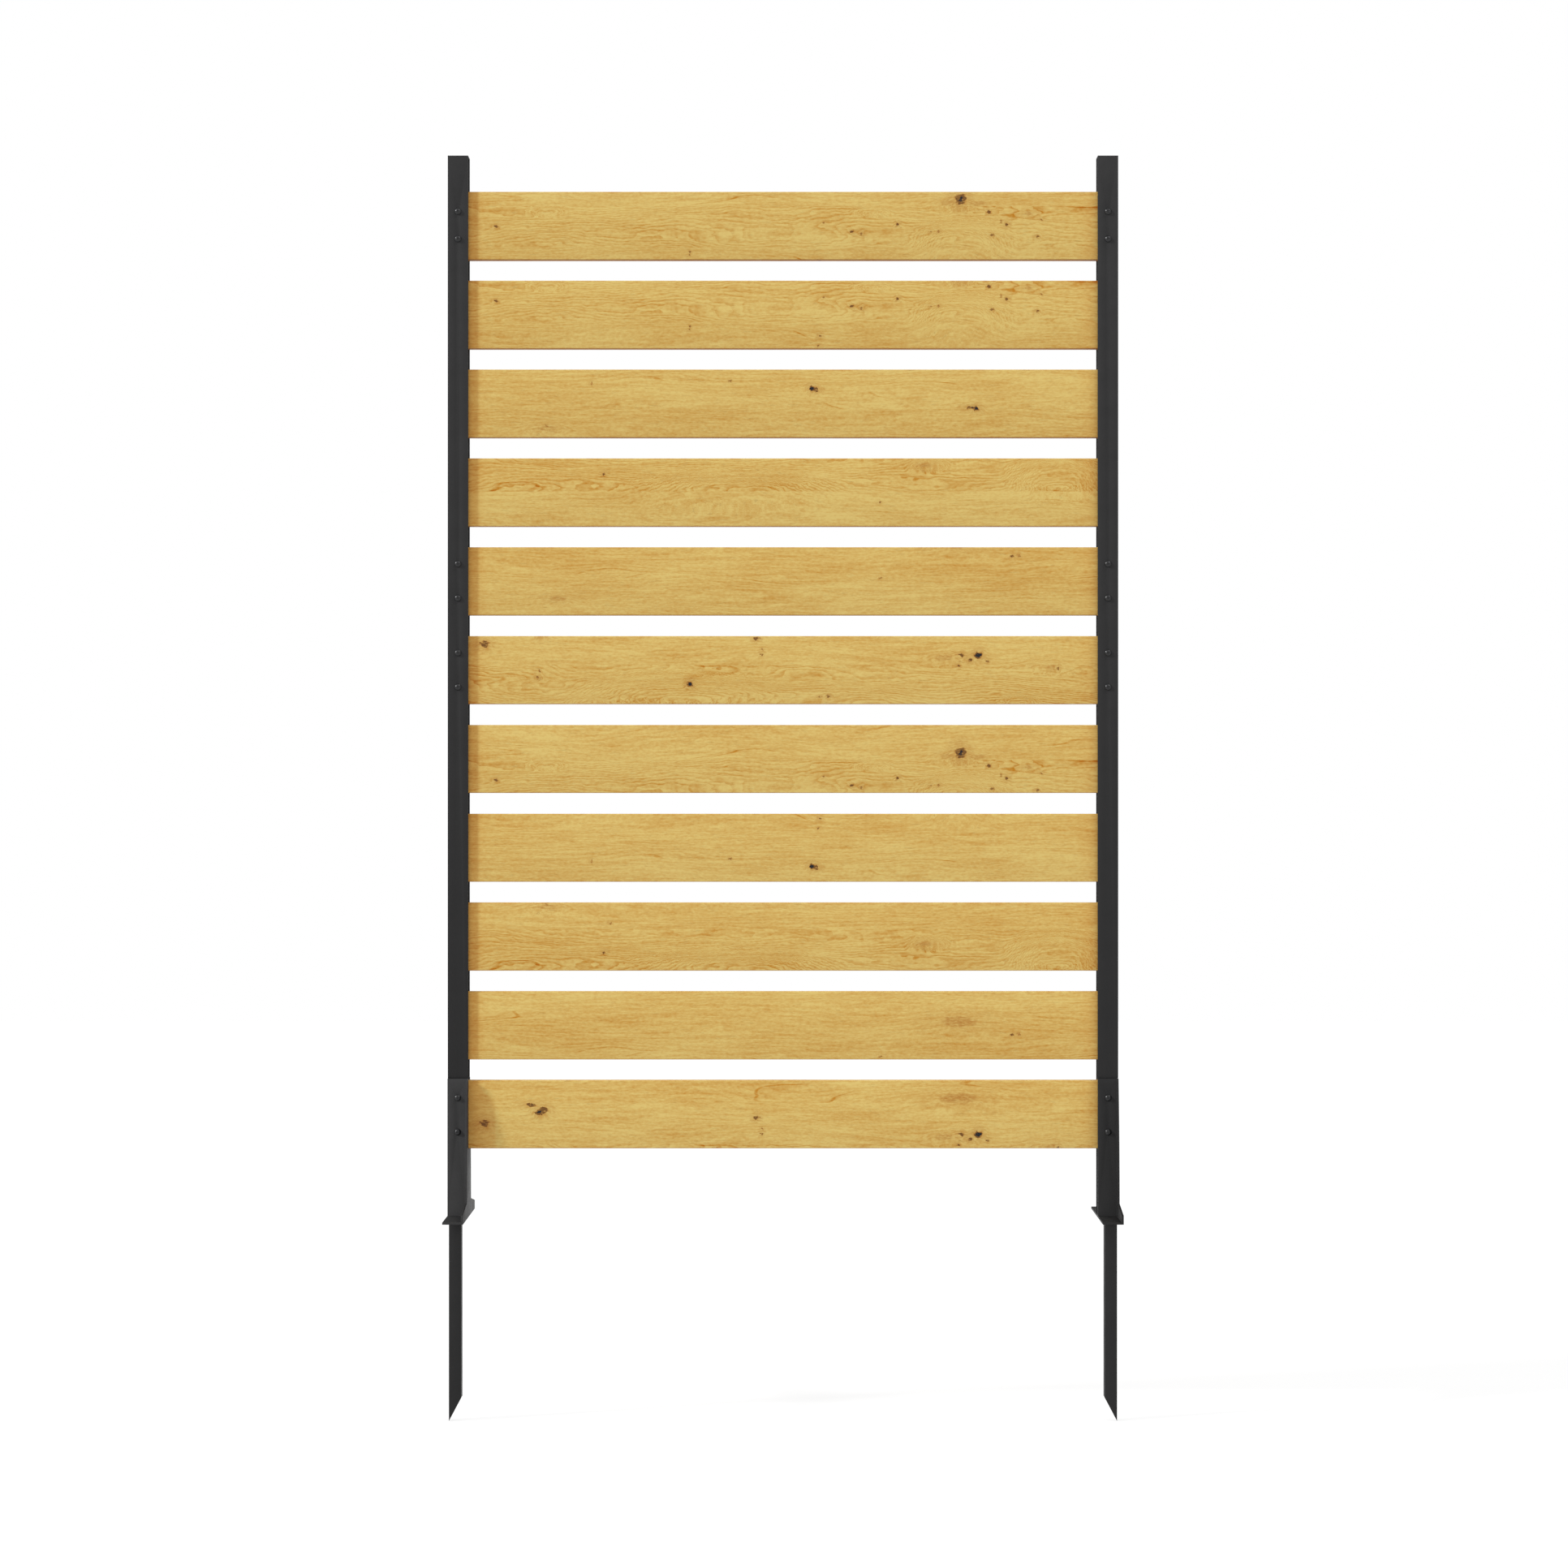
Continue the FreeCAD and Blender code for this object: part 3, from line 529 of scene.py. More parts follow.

    # Painted shade: the boards are made darker towards their ends beside the posts and on their
    # undersides, and a painted shadow of the left post lies on a band of the front beside it, widened low
    # down by a painted shadow of the left bracket.
    reach = calculate(tree, "ABSOLUTE", place.outputs["X"])
    painted_shade = ramp_between(tree, reach, 0.425, 0.462, 0.0, 0.38)
    facing = add_node(tree, "ShaderNodeNewGeometry").outputs["Normal"]
    facing = add_node(tree, "ShaderNodeSeparateXYZ", {"Vector": facing})
    under = ramp_between(tree, facing.outputs["Z"], -0.35, -0.9)
    front = ramp_between(tree, facing.outputs["Y"], -0.5, -0.9)
    ragged_shadow_edge = calculate(tree, "MULTIPLY_ADD", speck, 0.003, place.outputs["X"])
    # Painted shadow of the left bracket: the band beside the left post widens towards the bracket.
    bracket_shadow_widening = ramp_between(tree, place.outputs["Z"], 0.198, 0.160, 0.0, 0.025)
    ragged_shadow_edge = calculate(tree, "SUBTRACT", ragged_shadow_edge, bracket_shadow_widening)
    painted_shadow_band = ramp_between(tree, ragged_shadow_edge, -0.441, -0.4475, 0.0, 0.5)
    painted_shadow_band = calculate(tree, "MULTIPLY", painted_shadow_band, front)
    painted_shade = calculate(tree, "ADD", painted_shade, painted_shadow_band)
    # Painted shade at the ends and painted shadow beside the left post.
    colour = mix_colours(tree, painted_shade, colour, tuple(wood.shade_tint_colour), "MULTIPLY")
    # Painted shade on the undersides.
    colour = mix_colours(tree, under, colour, tuple(wood.underside_shade_tint), "MULTIPLY")
    tree.links.new(colour, shader.inputs["Base Color"])

    gloss = calculate(tree, "MULTIPLY_ADD", share, 0.16, 0.5)
    tree.links.new(gloss, shader.inputs["Roughness"])
    shader.inputs["Specular IOR Level"].default_value = 0.28
    relief = calculate(tree, "MULTIPLY_ADD", line, -0.5, fibre)
    relief = calculate(tree, "MULTIPLY_ADD", hollow, -2.0, relief)
    relief = calculate(tree, "SUBTRACT", relief, pore)
    bump(tree, shader, relief, 0.00012, 0.7)
    return material


# ------------------------------------------------------------------ coated steel and plastic


def coated_steel(name, colour, roughness, specular):
    """Fine textured powder coat with a faint mottle, paler rubbed edges, and painted shade that darkens
    it towards the ground and on faces that look up.
    """
    material, tree, shader = new_material(name)
    place = object_position(tree)
    mottle = noise(tree, place, 38.0, 3.0, 0.6)
    grit = noise(tree, place, 1500.0, 2.0, 0.6)
    peel = noise(tree, place, 420.0, 2.0, 0.5)
    dark = tuple(0.86 * value for value in colour)
    pale = tuple(min(1.0, 1.28 * value) for value in colour)
    shade = calculate(tree, "MULTIPLY_ADD", grit, 0.7, calculate(tree, "MULTIPLY", mottle, 0.5))
    tone = mix_colours(tree, ramp_between(tree, shade, 0.35, 0.85), dark, pale)
    # Painted shade: the coat is darker towards the ground and paler towards the top, and darker on faces
    # that look up, which are also rougher.
    separate = add_node(tree, "ShaderNodeSeparateXYZ", {"Vector": place})
    height = ramp_between(tree, separate.outputs["Z"], -0.3, 1.5, 0.66, 1.12)
    facing = add_node(tree, "ShaderNodeNewGeometry").outputs["Normal"]
    facing = add_node(tree, "ShaderNodeSeparateXYZ", {"Vector": facing})
    upward = ramp_between(tree, facing.outputs["Z"], 0.6, 0.95)
    height = calculate(tree, "MULTIPLY", height, calculate(tree, "MULTIPLY_ADD", upward, -0.6, 1.0))
    painted_height_shade = combine(tree, height, height, height)
    tone = mix_colours(tree, 1.0, tone, painted_height_shade, "MULTIPLY")
    rounded = add_node(tree, "ShaderNodeBevel", {"Radius": 0.0012}, samples=4).outputs["Normal"]
    true_normal = add_node(tree, "ShaderNodeNewGeometry").outputs["Normal"]
    facing = add_node(tree, "ShaderNodeVectorMath", {0: rounded, 1: true_normal}, operation="DOT_PRODUCT")
    edge = ramp_between(tree, facing.outputs["Value"], 0.995, 0.85)
    worn = calculate(tree, "MULTIPLY", edge, ramp_between(tree, mottle, 0.4, 0.7, 0.1, 0.5))
    tone = mix_colours(tree, worn, tone, tuple(min(1.0, 2.6 * value) for value in colour))
    tree.links.new(tone, shader.inputs["Base Color"])
    rough = ramp_between(tree, mottle, 0.25, 0.75, roughness - 0.05, roughness + 0.06)
    rough = calculate(tree, "MULTIPLY_ADD", upward, 0.3, rough)
    tree.links.new(rough, shader.inputs["Roughness"])
    shader.inputs["Specular IOR Level"].default_value = specular
    height = calculate(tree, "MULTIPLY_ADD", peel, 0.6, grit)
    bump(tree, shader, height, 0.00006, 0.6)
    return material


def zinc_plate(metal):
    """Plated steel with a brushed, slightly clouded surface."""
    material, tree, shader = new_material("zinc_plate")
    place = object_position(tree)
    cloud = noise(tree, place, 260.0, 3.0, 0.6)
    scratch = noise(tree, stretched(tree, place, 3000.0, 500.0, 600.0), 1.0, 2.0)
    colour = tuple(metal.zinc_colour)
    dull = tuple(0.72 * value for value in colour)
    tree.links.new(mix_colours(tree, cloud, colour, dull), shader.inputs["Base Color"])
    tree.links.new(ramp_between(tree, cloud, 0.2, 0.8, 0.28, 0.48), shader.inputs["Roughness"])
    shader.inputs["Metallic"].default_value = 1.0
    bump(tree, shader, scratch, 0.00003, 0.5)
    return material


def moulded_plastic(metal):
    """Matt black plastic with a fine spark-eroded grain."""
    material, tree, shader = new_material("moulded_plastic")
    place = object_position(tree)
    grain = noise(tree, place, 1300.0, 2.0, 0.7)
    flow = noise(tree, place, 60.0, 3.0)
    colour = tuple(metal.spacer_colour)
    pale = tuple(1.5 * value for value in colour)
    tree.links.new(mix_colours(tree, flow, colour, pale), shader.inputs["Base Color"])
    tree.links.new(ramp_between(tree, flow, 0.3, 0.7, 0.5, 0.62), shader.inputs["Roughness"])
    shader.inputs["Specular IOR Level"].default_value = 0.4
    bump(tree, shader, grain, 0.00008, 0.6)
    return material


# ------------------------------------------------------------------ geometry node helpers


def new_tree(name, numbers):
    """A geometry node tree with named number inputs; returns the tree and its input node."""
    tree = bpy.data.node_groups.new(name, "GeometryNodeTree")
    tree.interface.new_socket("Geometry", in_out="INPUT", socket_type="NodeSocketGeometry")
    for label, default in numbers.items():
        socket = tree.interface.new_socket(label, in_out="INPUT", socket_type="NodeSocketFloat")
        socket.default_value = default
    tree.interface.new_socket("Material", in_out="INPUT", socket_type="NodeSocketMaterial")
    tree.interface.new_socket("Geometry", in_out="OUTPUT", socket_type="NodeSocketGeometry")
    return tree, tree.nodes.new("NodeGroupInput")


def finish_tree(tree, given, geometry):
    """Ends a tree in real geometry with its material."""
    real = add_node(tree, "GeometryNodeRealizeInstances", {"Geometry": geometry})
    inputs = {"Geometry": real.outputs[0], "Material": given.outputs["Material"]}
    painted = add_node(tree, "GeometryNodeSetMaterial", inputs)
    output = tree.nodes.new("NodeGroupOutput")
    tree.links.new(painted.outputs[0], output.inputs[0])


def made_by(tree, name, mesh, numbers, material):
    """A new object whose mesh is what the tree makes of the given mesh."""
    maker = bpy.data.objects.new(f"{name}_maker", mesh)
    bpy.context.scene.collection.objects.link(maker)
    modifier = maker.modifiers.new("Make", "NODES")
    modifier.node_group = tree
    values = {**numbers, "Material": material}
    for item in tree.interface.items_tree:
        if item.in_out == "INPUT" and item.name in values:
            modifier[item.identifier] = values[item.name]
    bpy.context.view_layer.update()
    graph = bpy.context.evaluated_depsgraph_get()
    result = bpy.data.meshes.new_from_object(maker.evaluated_get(graph))
    result.name = name
    for face in result.polygons:
        face.material_index = 0
    result.materials.clear()
    result.materials.append(material)
    maker.modifiers.remove(modifier)
    bpy.data.objects.remove(maker)
    piece = bpy.data.objects.new(name, result)
    bpy.context.scene.collection.objects.link(piece)
    return piece


def settle(piece, slot, *nodes):
    """Hands a finished piece to the frame, in the place of CAD nodes."""
    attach(piece, "root")
    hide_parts(*nodes)
    return piece


def smooth_by_angle(mesh, degrees=32.0):
    """Smooth faces, with sharp edges where faces meet at more than the angle."""
    work = bmesh.new()
    work.from_mesh(mesh)
    limit = math.radians(degrees)
    for face in work.faces:
        face.smooth = True
    for edge in work.edges:
        edge.smooth = len(edge.link_faces) == 2 and edge.calc_face_angle(0.0) < limit
    work.to_mesh(mesh)
    work.free()


# ------------------------------------------------------------------ boards


def board_tree():
    """A board along X: a rounded section swept along a finely divided line, with gentle waves
    in its faces."""
    numbers = {
        "Length": 1.0, "Thickness": 0.015, "Height": 0.1, "Edge Radius": 0.0013,
        "Centre Z": 0.0, "Sheet Top": 0.0, "Unevenness": 0.0001,
    }
    tree, given = new_tree("board", numbers)
    size = given.outputs
    section = add_node(
        tree, "GeometryNodeCurvePrimitiveQuadrilateral",
        {"Width": size["Thickness"], "Height": size["Height"]},
    )
    rounded = add_node(
        tree, "GeometryNodeFilletCurve",
        {"Curve": section.outputs[0], "Radius": size["Edge Radius"], "Count": 4},
        mode="POLY",
    )
    half = calculate(tree, "MULTIPLY", size["Length"], 0.5)
    start = combine(tree, calculate(tree, "MULTIPLY", half, -1.0))
    line = add_node(tree, "GeometryNodeCurvePrimitiveLine", {"Start": start, "End": combine(tree, half)})
    divided = add_node(tree, "GeometryNodeResampleCurve", {"Curve": line.outputs[0], "Count": 98})
    swept = add_node(
        tree, "GeometryNodeCurveToMesh",
        {"Curve": divided.outputs[0], "Profile Curve": rounded.outputs[0], "Fill Caps": True},
    )
    lifted = add_node(
        tree, "GeometryNodeTransform",
        {"Geometry": swept.outputs[0], "Translation": combine(tree, 0.0, 0.0, size["Centre Z"])},
    )
    position = add_node(tree, "GeometryNodeInputPosition").outputs[0]
    waves = noise(tree, stretched(tree, position, 2.5, 1.0, 9.0), 1.0, 1.0)
    wave = calculate(tree, "MULTIPLY", calculate(tree, "SUBTRACT", waves, 0.5), size["Unevenness"])
    uneven = add_node(
        tree, "GeometryNodeSetPosition",
        {"Geometry": lifted.outputs[0], "Offset": combine(tree, 0.0, wave, 0.0)},
    )
    stored = add_node(
        tree, "GeometryNodeStoreNamedAttribute",
        {"Geometry": uneven.outputs[0], "Name": "sheet_top", "Value": size["Sheet Top"]},
        data_type="FLOAT", domain="POINT",
    )
    finish_tree(tree, given, stored.outputs[0])
    return tree


class OBJECT_OT_garden_screen_boards(bpy.types.Operator):
    """Make the wooden boards"""

    bl_idname = "object.garden_screen_boards"
    bl_label = "Make Boards"

    def execute(self, context):
        wood = context.scene.garden_screen_wood
        material = board_material(wood)
        tree = board_tree()
        for node in SLAT_NODES:
            low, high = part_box(node)
            size = high - low
            numbers = {
                "Length": size.x, "Thickness": size.y, "Height": size.z,
                "Edge Radius": wood.edge_radius, "Centre Z": (low.z + high.z) / 2,
                "Sheet Top": high.z + BOARD_STARTS[node] * MILLIMETRE,
                "Unevenness": wood.unevenness,
            }
            mesh = bpy.data.meshes.new(f"{node}_seed")
            piece = made_by(tree, f"{node}_board", mesh, numbers, material)
            smooth_by_angle(piece.data)
            settle(piece, "slat_wood", node)
        return {"FINISHED"}


# ------------------------------------------------------------------ steel and plastic parts


def broken_edges(node, name, width, material):
    """A copy of a CAD node whose sharp edges are slightly rounded."""
    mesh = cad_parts[node].data.copy()
    mesh.name = name
    mesh.materials.clear()
    mesh.materials.append(material)
    piece = bpy.data.objects.new(name, mesh)
    bpy.context.scene.collection.objects.link(piece)
    work = bmesh.new()
    work.from_mesh(mesh)
    bmesh.ops.remove_doubles(work, verts=work.verts, dist=1e-6)
    bmesh.ops.dissolve_limit(
        work, angle_limit=math.radians(0.5), verts=work.verts, edges=work.edges
    )
    sharp = [e for e in work.edges
             if len(e.link_faces) == 2 and e.calc_face_angle(0.0) > math.radians(40)]
    bmesh.ops.bevel(
        work, geom=sharp, offset=width, offset_type="OFFSET", segments=2, profile=0.5,
        affect="EDGES", clamp_overlap=True,
    )
    bmesh.ops.triangulate(work, faces=[f for f in work.faces if len(f.verts) > 4])
    work.to_mesh(mesh)
    work.free()
    if "custom_normal" in mesh.attributes:
        mesh.attributes.remove(mesh.attributes["custom_normal"])
    smooth_by_angle(mesh, 40.0)
    return piece


class OBJECT_OT_garden_screen_steelwork(bpy.types.Operator):
    """Make the posts, caps, foot brackets and ground spikes"""

    bl_idname = "object.garden_screen_steelwork"
    bl_label = "Make Steelwork"

    def execute(self, context):
        metal = context.scene.garden_screen_metal
        colour = tuple(metal.coat_colour)
        coat = coated_steel("powder_coat", colour, 0.55, 0.22)
        # Painted light and shade: each foot bracket gets its own copy of the coat, paler on the left and
        # darker on the right.
        for side, shade in zip(SIDES, metal.painted_foot_shades):
            painted_light_foot_colour = tuple(shade * value for value in colour)
            painted_light_foot_coat = coated_steel(f"{side}_painted_light_foot_coat", painted_light_foot_colour, 0.55, 0.22)
            for part in ("post", "post_cap", "foot_bracket", "spike"):
                node = f"{side}_{part}"
                finish = painted_light_foot_coat if part == "foot_bracket" else coat
                piece = broken_edges(node, f"{node}_coated", metal.edge_break, finish)
                settle(piece, "post_metal", node)
        return {"FINISHED"}


class OBJECT_OT_garden_screen_spacers(bpy.types.Operator):
    """Make the plastic spacers inside the posts"""

    bl_idname = "object.garden_screen_spacers"
    bl_label = "Make Spacers"

    def execute(self, context):
        metal = context.scene.garden_screen_metal
        plastic = moulded_plastic(metal)
        for node in sorted(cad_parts):
            if "_spacer_" in node:
                piece = broken_edges(node, f"{node}_moulded", metal.edge_break, plastic)
                settle(piece, "spacer_plastic", node)
        return {"FINISHED"}


# ------------------------------------------------------------------ fasteners


def turned_mesh(name, rows, steps, hexagonal=()):
    """A closed mesh turned about the Y axis from rows of (radius, y). Rows named in hexagonal
    follow a hexagon whose flats touch their radius."""
    work = bmesh.new()
    rings = []
    for index, (radius, y) in enumerate(rows):
        if radius == 0.0:
            rings.append([work.verts.new((0.0, y, 0.0))])
            continue
        ring = []
        for step in range(steps):
            angle = math.tau * step / steps
            reach = radius
            if index in hexagonal:
                sector = (angle % (math.tau / 6)) - math.tau / 12
                reach = radius / math.cos(sector)
            ring.append(work.verts.new((reach * math.cos(angle), y, reach * math.sin(angle))))
        rings.append(ring)
    for first, second in zip(rings, rings[1:]):
        for step in range(steps):
            after = (step + 1) % steps
            corners = [first[step % len(first)], first[after % len(first)],
                       second[after % len(second)], second[step % len(second)]]
            unique = list(dict.fromkeys(corners))
            if len(unique) > 2:
                work.faces.new(unique)
    bmesh.ops.recalc_face_normals(work, faces=work.faces)
    mesh = bpy.data.meshes.new(name)
    work.to_mesh(mesh)
    work.free()
    return mesh


def threaded(mesh, start_y, end_y, crest, root, pitch):
    """Turns the plain end of a shank into a thread by moving its points in and out."""
    for vertex in mesh.vertices:
        x, y, z = vertex.co
        radius = math.hypot(x, z)
        if start_y < y < end_y and abs(radius - crest) < 1e-6:
            turn = (y / pitch - math.atan2(z, x) / math.tau) % 1.0
            depth = 2.0 * abs(turn - 0.5)
            scale = (crest - depth * (crest - root)) / radius
            vertex.co = (x * scale, y, z * scale)


def screw_mesh(sizes):
    """A button-head screw along +Y with the underside of its head at the origin."""
    head = sizes.head_diameter / 2
    tall = sizes.head_height
    key = sizes.key_size / 2
    shank = sizes.shank_diameter / 2
    flat = 0.44 * head
    socket_floor = -tall + 1.6 * MILLIMETRE
    chamfer = 0.15 * MILLIMETRE
    rows = [(0.0, socket_floor + 0.35 * MILLIMETRE), (key, socket_floor), (key, -tall + chamfer)]
    rows += [(key + chamfer, -tall), (flat, -tall)]
    rim = 0.55 * MILLIMETRE
    centre = (head ** 2 + rim ** 2 - flat ** 2 - tall ** 2) / (2 * (tall - rim))
    dome = math.hypot(head, rim + centre)
    start, end = math.asin(flat / dome), math.asin(head / dome)
    for step in range(1, 11):
        angle = start + (end - start) * step / 10
        rows.append((dome * math.sin(angle), centre - dome * math.cos(angle)))
    rows += [(head, -0.05 * MILLIMETRE), (head - 0.1 * MILLIMETRE, 0.0), (shank, 0.0)]
    thread_start = 19 * MILLIMETRE
    rows.append((shank, thread_start))
    count = int((sizes.shank_length - thread_start) / sizes.thread_pitch * 6)
    step = (sizes.shank_length - 0.6 * MILLIMETRE - thread_start) / count
    rows += [(shank, thread_start + step * n) for n in range(1, count + 1)]
    rows += [(shank - 0.5 * MILLIMETRE, sizes.shank_length), (0.0, sizes.shank_length)]
    mesh = turned_mesh("screw", rows, 36, hexagonal=(1, 2, 3))
    threaded(mesh, thread_start, sizes.shank_length, shank, shank - 0.42 * MILLIMETRE, sizes.thread_pitch)
    return mesh


def nut_mesh(sizes):
    """A lock nut about +Y from the origin, with its round collar outermost."""
    flat = sizes.nut_size / 2
    bore = sizes.shank_diameter / 2 + 0.05 * MILLIMETRE
    tall = sizes.nut_height
    shoulder = 3.6 * MILLIMETRE
    chamfer = 0.45 * MILLIMETRE
    collar = flat - 0.5 * MILLIMETRE
    rows = [
        (bore, 0.25 * MILLIMETRE), (bore + 0.25 * MILLIMETRE, 0.0), (flat - 0.2 * MILLIMETRE, 0.0),
        (flat, chamfer), (flat, shoulder - chamfer), (collar, shoulder),
        (collar, tall - 0.35 * MILLIMETRE), (collar - 0.3 * MILLIMETRE, tall),
        (bore + 0.4 * MILLIMETRE, tall), (bore, tall - 0.4 * MILLIMETRE), (bore, 0.25 * MILLIMETRE),
    ]
    return closed_ring("nut", rows, 48, hexagonal=(3, 4))


def washer_mesh(sizes):
    """A washer about +Y from the origin."""
    outer = sizes.washer_diameter / 2
    bore = sizes.shank_diameter / 2 + 0.15 * MILLIMETRE
    tall = sizes.washer_height
    soft = 0.12 * MILLIMETRE
    rows = [
        (bore, soft), (bore + soft, 0.0), (outer - soft, 0.0), (outer, soft),
        (outer, tall - soft), (outer - soft, tall), (bore + soft, tall), (bore, tall - soft),
        (bore, soft),
    ]
    return closed_ring("washer", rows, 48)


def closed_ring(name, rows, steps, hexagonal=()):
    """A turned mesh whose last row is its first, welded shut."""
    mesh = turned_mesh(name, rows, steps, hexagonal)
    work = bmesh.new()
    work.from_mesh(mesh)
    bmesh.ops.remove_doubles(work, verts=work.verts, dist=1e-7)
    bmesh.ops.recalc_face_normals(work, faces=work.faces)
    work.to_mesh(mesh)
    work.free()
    return mesh


PAIR_NAMES = ("Top Pair", "Upper Middle Pair", "Lower Middle Pair", "Foot Pair")


def fastener_tree():
    """Copies of one fastener at the four pairs of holes in a post, each turned by a chance
    angle about its own axis."""
    numbers = {"Side X": 0.0, "Seat Y": 0.0, "Foot Seat Y": 0.0}
    for name in PAIR_NAMES:
        numbers[f"{name} Height"] = 0.0
        numbers[f"{name} Spacing"] = 0.05
    tree, given = new_tree("fasteners_on_post", numbers)
    size = given.outputs
    joined = add_node(tree, "GeometryNodeJoinGeometry")
    for name in PAIR_NAMES:
        seat = size["Foot Seat Y"] if name == "Foot Pair" else size["Seat Y"]
        half = calculate(tree, "MULTIPLY", size[f"{name} Spacing"], 0.5)
        low = calculate(tree, "SUBTRACT", size[f"{name} Height"], half)
        line = add_node(
            tree, "GeometryNodeMeshLine",
            {"Count": 2, "Start Location": combine(tree, size["Side X"], seat, low),
             "Offset": combine(tree, 0.0, 0.0, size[f"{name} Spacing"])},
        )
        tree.links.new(line.outputs[0], joined.inputs[0])
    chance = add_node(
        tree, "FunctionNodeRandomValue", {2: 0.0, 3: math.tau, "Seed": 7}, data_type="FLOAT"
    )
    turn = combine(tree, 0.0, chance.outputs[1], 0.0)
    copies = add_node(
        tree, "GeometryNodeInstanceOnPoints",
        {"Points": joined.outputs[0], "Instance": size["Geometry"], "Rotation": turn},
    )
    finish_tree(tree, given, copies.outputs[0])
    return tree


def hole_pairs():
    """Height of each pair of holes, with the distance between its two."""
    pairs = {}
    for name, node in zip(PAIR_NAMES, BOLTED_SLATS):
        low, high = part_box(node)
        pairs[f"{name} Height"] = (low.z + high.z) / 2
        pairs[f"{name} Spacing"] = 40 * MILLIMETRE if name == "Top Pair" else 50 * MILLIMETRE
    return pairs


class OBJECT_OT_garden_screen_fasteners(bpy.types.Operator):
    """Make the screws, washers and lock nuts"""

    bl_idname = "object.garden_screen_fasteners"
    bl_label = "Make Fasteners"

    def execute(self, context):
        sizes = context.scene.garden_screen_fasteners
        metal = context.scene.garden_screen_metal
        black = coated_steel("black_screw_coat", tuple(metal.screw_colour), 0.33, 0.42)
        zinc = zinc_plate(metal)
        tree = fastener_tree()
        front = POST_LOW.y
        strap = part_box("left_screws")[0].y + sizes.head_height
        behind = POST_HIGH.y
        seats = {
            "screws": (screw_mesh(sizes), front, strap, black, "screw_metal"),
            "washers": (washer_mesh(sizes), behind, behind, zinc, "hardware_steel"),
            "nuts": (nut_mesh(sizes), NUT_SEAT, NUT_SEAT, zinc, "hardware_steel"),
        }
        for side, sign in zip(SIDES, (-1, 1)):
            for kind, (mesh, seat, foot_seat, material, slot) in seats.items():
                numbers = {
                    "Side X": sign * POST_AXIS_X, "Seat Y": seat, "Foot Seat Y": foot_seat,
                    **hole_pairs(),
                }
                name = f"{side}_{kind}_made"
                piece = made_by(tree, name, mesh.copy(), numbers, material)
                smooth_by_angle(piece.data, 35.0)
                settle(piece, slot, f"{side}_{kind}")
        return {"FINISHED"}


# ------------------------------------------------------------------ stage


def add_world(stage):
    """Even light from all round, white where the camera, gloss or glass looks at it."""
    world = bpy.data.worlds.new("studio")
    bpy.context.scene.world = world
    world.use_nodes = True
    tree = world.node_tree
    tree.nodes.clear()
    soft = add_node(
        tree, "ShaderNodeBackground",
        {"Color": (1.0, 1.0, 1.0, 1.0), "Strength": stage.sky_strength},
    )
    white = add_node(
        tree, "ShaderNodeBackground", {"Color": (1.0, 1.0, 1.0, 1.0), "Strength": 1.0}
    )
    rays = add_node(tree, "ShaderNodeLightPath").outputs
    seen = calculate(tree, "MAXIMUM", rays["Is Camera Ray"], rays["Is Glossy Ray"])
    seen = calculate(tree, "MAXIMUM", seen, rays["Is Transmission Ray"])
    mixed = add_node(
        tree, "ShaderNodeMixShader", {0: seen, 1: soft.outputs[0], 2: white.outputs[0]}
    )
    output = add_node(tree, "ShaderNodeOutputWorld")
    tree.links.new(mixed.outputs[0], output.inputs["Surface"])


def add_floor():
    """A wide pale floor just under the spikes, near white to the camera, with soft shadows."""
    bpy.ops.mesh.primitive_plane_add(size=16.0, location=(0.0, 0.0, CAD_LOW.z - 0.0005))
    floor = bpy.context.object
    floor.name = "studio_floor"
    material = bpy.data.materials.new("studio_floor")
    material.use_nodes = True
    tree = material.node_tree
    tree.nodes.clear()
    lit = add_node(tree, "ShaderNodeBsdfDiffuse", {"Color": (0.72, 0.72, 0.72, 1.0)})
    white = add_node(
        tree, "ShaderNodeEmission", {"Color": (1.0, 1.0, 1.0, 1.0), "Strength": 1.14}
    )
    rays = add_node(tree, "ShaderNodeLightPath").outputs
    seen = calculate(tree, "MAXIMUM", rays["Is Camera Ray"], rays["Is Glossy Ray"])
    seen = calculate(tree, "MAXIMUM", seen, rays["Is Transmission Ray"])
    share = calculate(tree, "MULTIPLY", seen, 0.7)
    mixed = add_node(tree, "ShaderNodeMixShader", {0: share, 1: lit.outputs[0], 2: white.outputs[0]})
    output = add_node(tree, "ShaderNodeOutputMaterial")
    tree.links.new(mixed.outputs[0], output.inputs["Surface"])
    floor.data.materials.append(material)


def add_lamp(name, towards, strength, softness):
    """A soft light from far away."""
    lamp = bpy.data.lights.new(name, "SUN")
    lamp.energy = strength
    lamp.angle = softness
    holder = bpy.data.objects.new(name, lamp)
    bpy.context.scene.collection.objects.link(holder)
    holder.rotation_euler = Vector(towards).to_track_quat("Z", "Y").to_euler()


def add_camera(stage):
    camera_data = bpy.data.cameras.new("camera")
    camera_data.sensor_width = 36.0
    camera_data.lens = stage.focal_length
    camera_data.clip_end = 100.0
    camera = bpy.data.objects.new("camera", camera_data)
    bpy.context.scene.collection.objects.link(camera)
    y = POST_LOW.y - stage.camera_distance
    camera.location = (stage.camera_x, y, stage.camera_height)
    camera.rotation_euler = (math.radians(90.0), 0.0, 0.0)
    bpy.context.scene.camera = camera


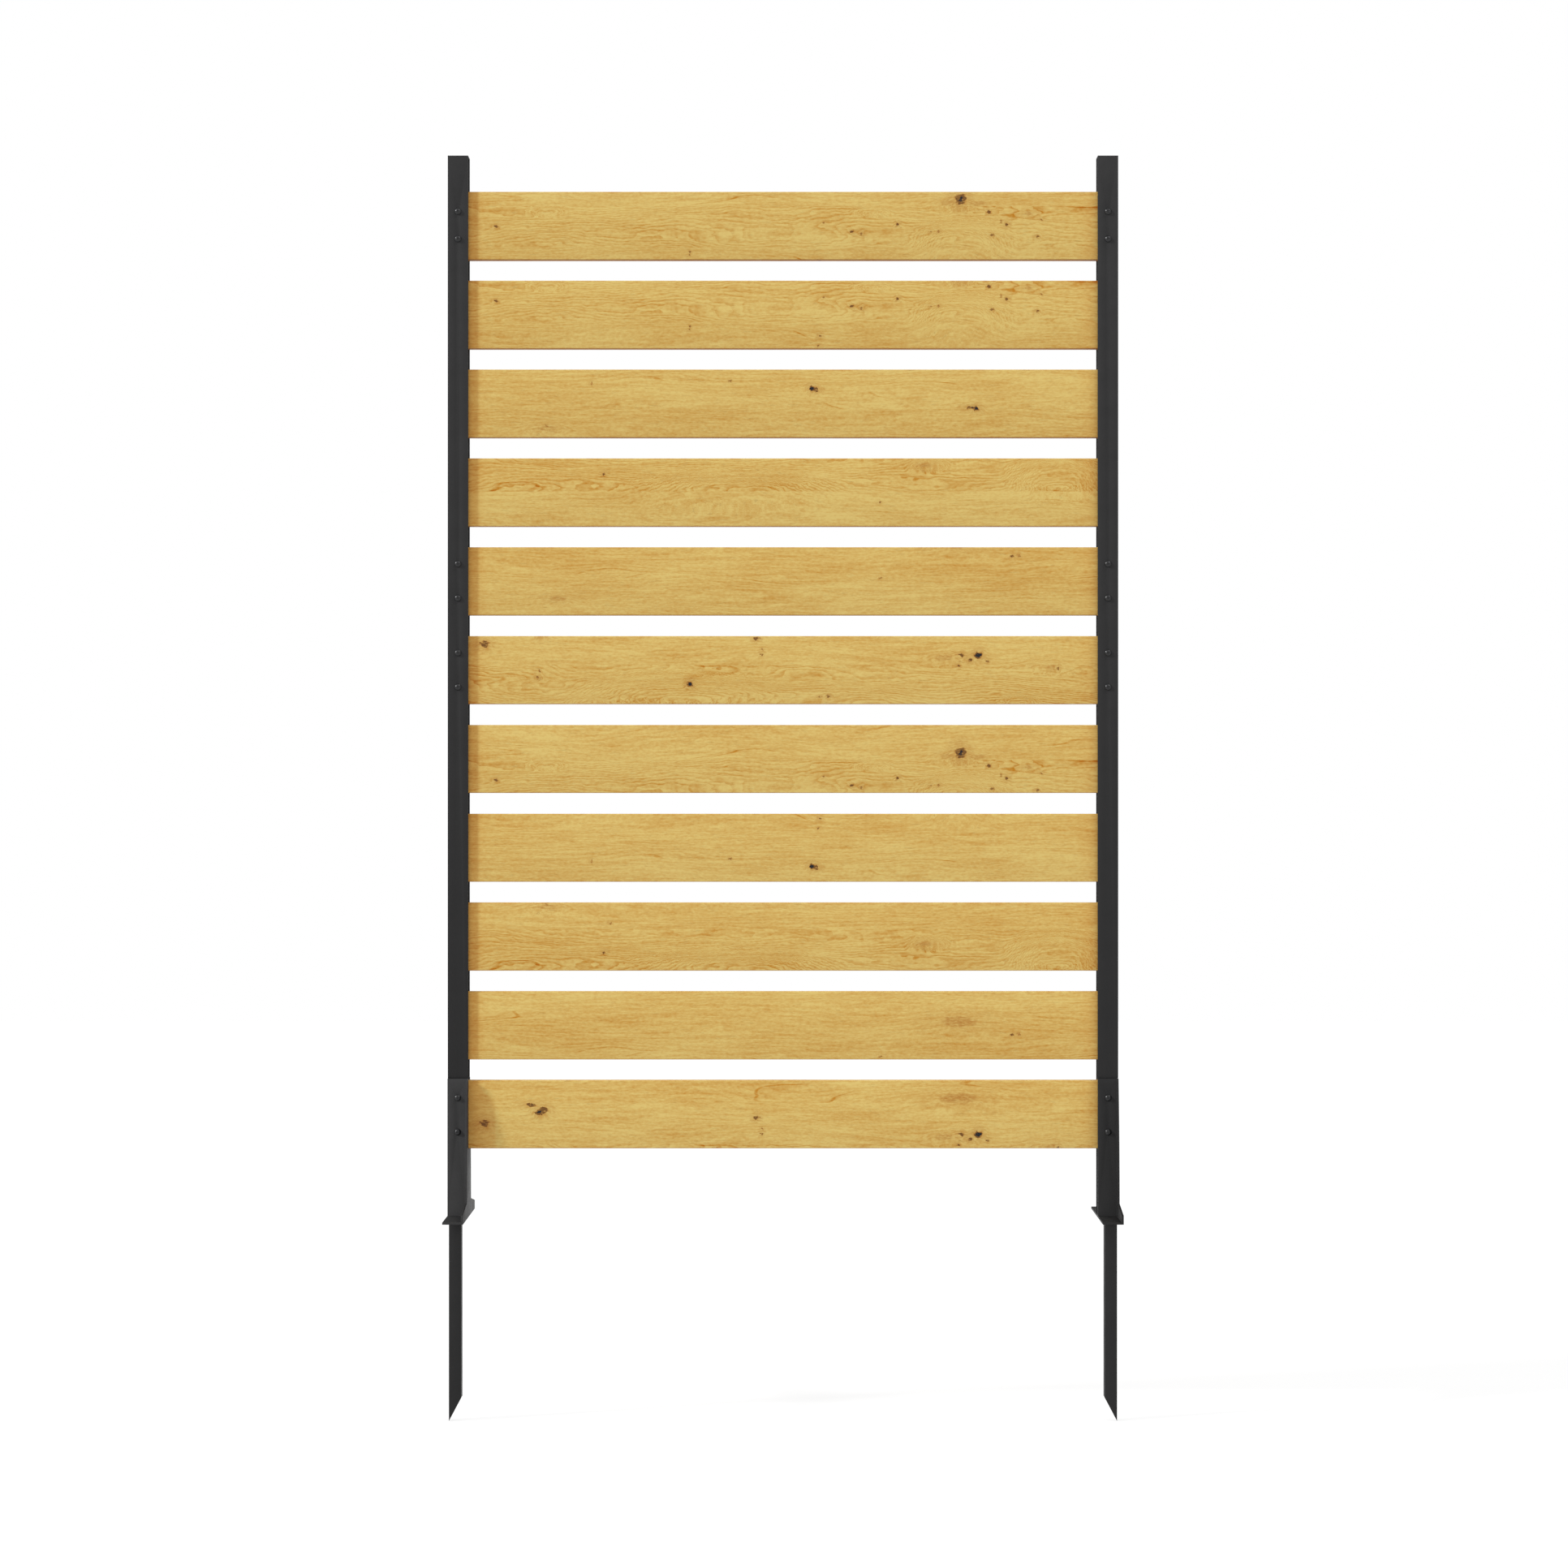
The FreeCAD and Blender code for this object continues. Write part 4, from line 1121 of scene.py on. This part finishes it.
class OBJECT_OT_garden_screen_stage(bpy.types.Operator):
    """Make the floor, the lights and the camera"""

    bl_idname = "object.garden_screen_stage"
    bl_label = "Make Studio"

    def execute(self, context):
        stage = context.scene.garden_screen_stage
        add_camera(stage)
        add_world(stage)
        add_floor()
        add_lamp("key_light", (-3.0, -1.0, 1.8), stage.key_strength, stage.key_softness)
        add_lamp("fill_light", (0.56, -0.28, 0.8), stage.fill_strength, math.radians(9.0))
        context.scene.view_settings.view_transform = "Standard"
        return {"FINISHED"}


# ------------------------------------------------------------------ panel, registration, run

OPERATORS = (
    OBJECT_OT_garden_screen_stage,
    OBJECT_OT_garden_screen_boards,
    OBJECT_OT_garden_screen_steelwork,
    OBJECT_OT_garden_screen_spacers,
    OBJECT_OT_garden_screen_fasteners,
)


class VIEW3D_PT_garden_screen(bpy.types.Panel):
    bl_label = "Garden Screen"
    bl_space_type = "VIEW_3D"
    bl_region_type = "UI"
    bl_category = "Garden Screen"

    def draw(self, context):
        for name, group in PROPERTY_GROUPS.items():
            box = self.layout.box()
            settings = getattr(context.scene, name)
            for key in group.__annotations__:
                box.prop(settings, key)
        for operator in OPERATORS:
            self.layout.operator(operator.bl_idname)


def register():
    for group in PROPERTY_GROUPS.values():
        bpy.utils.register_class(group)
    for name, group in PROPERTY_GROUPS.items():
        setattr(bpy.types.Scene, name, bpy.props.PointerProperty(type=group))
    for operator in OPERATORS:
        bpy.utils.register_class(operator)
    bpy.utils.register_class(VIEW3D_PT_garden_screen)


def unregister():
    bpy.utils.unregister_class(VIEW3D_PT_garden_screen)
    for operator in reversed(OPERATORS):
        bpy.utils.unregister_class(operator)
    for name in PROPERTY_GROUPS:
        delattr(bpy.types.Scene, name)
    for group in PROPERTY_GROUPS.values():
        bpy.utils.unregister_class(group)


def main():
    register()
    bpy.ops.object.garden_screen_stage()
    bpy.ops.object.garden_screen_boards()
    bpy.ops.object.garden_screen_steelwork()
    bpy.ops.object.garden_screen_spacers()
    bpy.ops.object.garden_screen_fasteners()


if __name__ == "__main__":
    main()
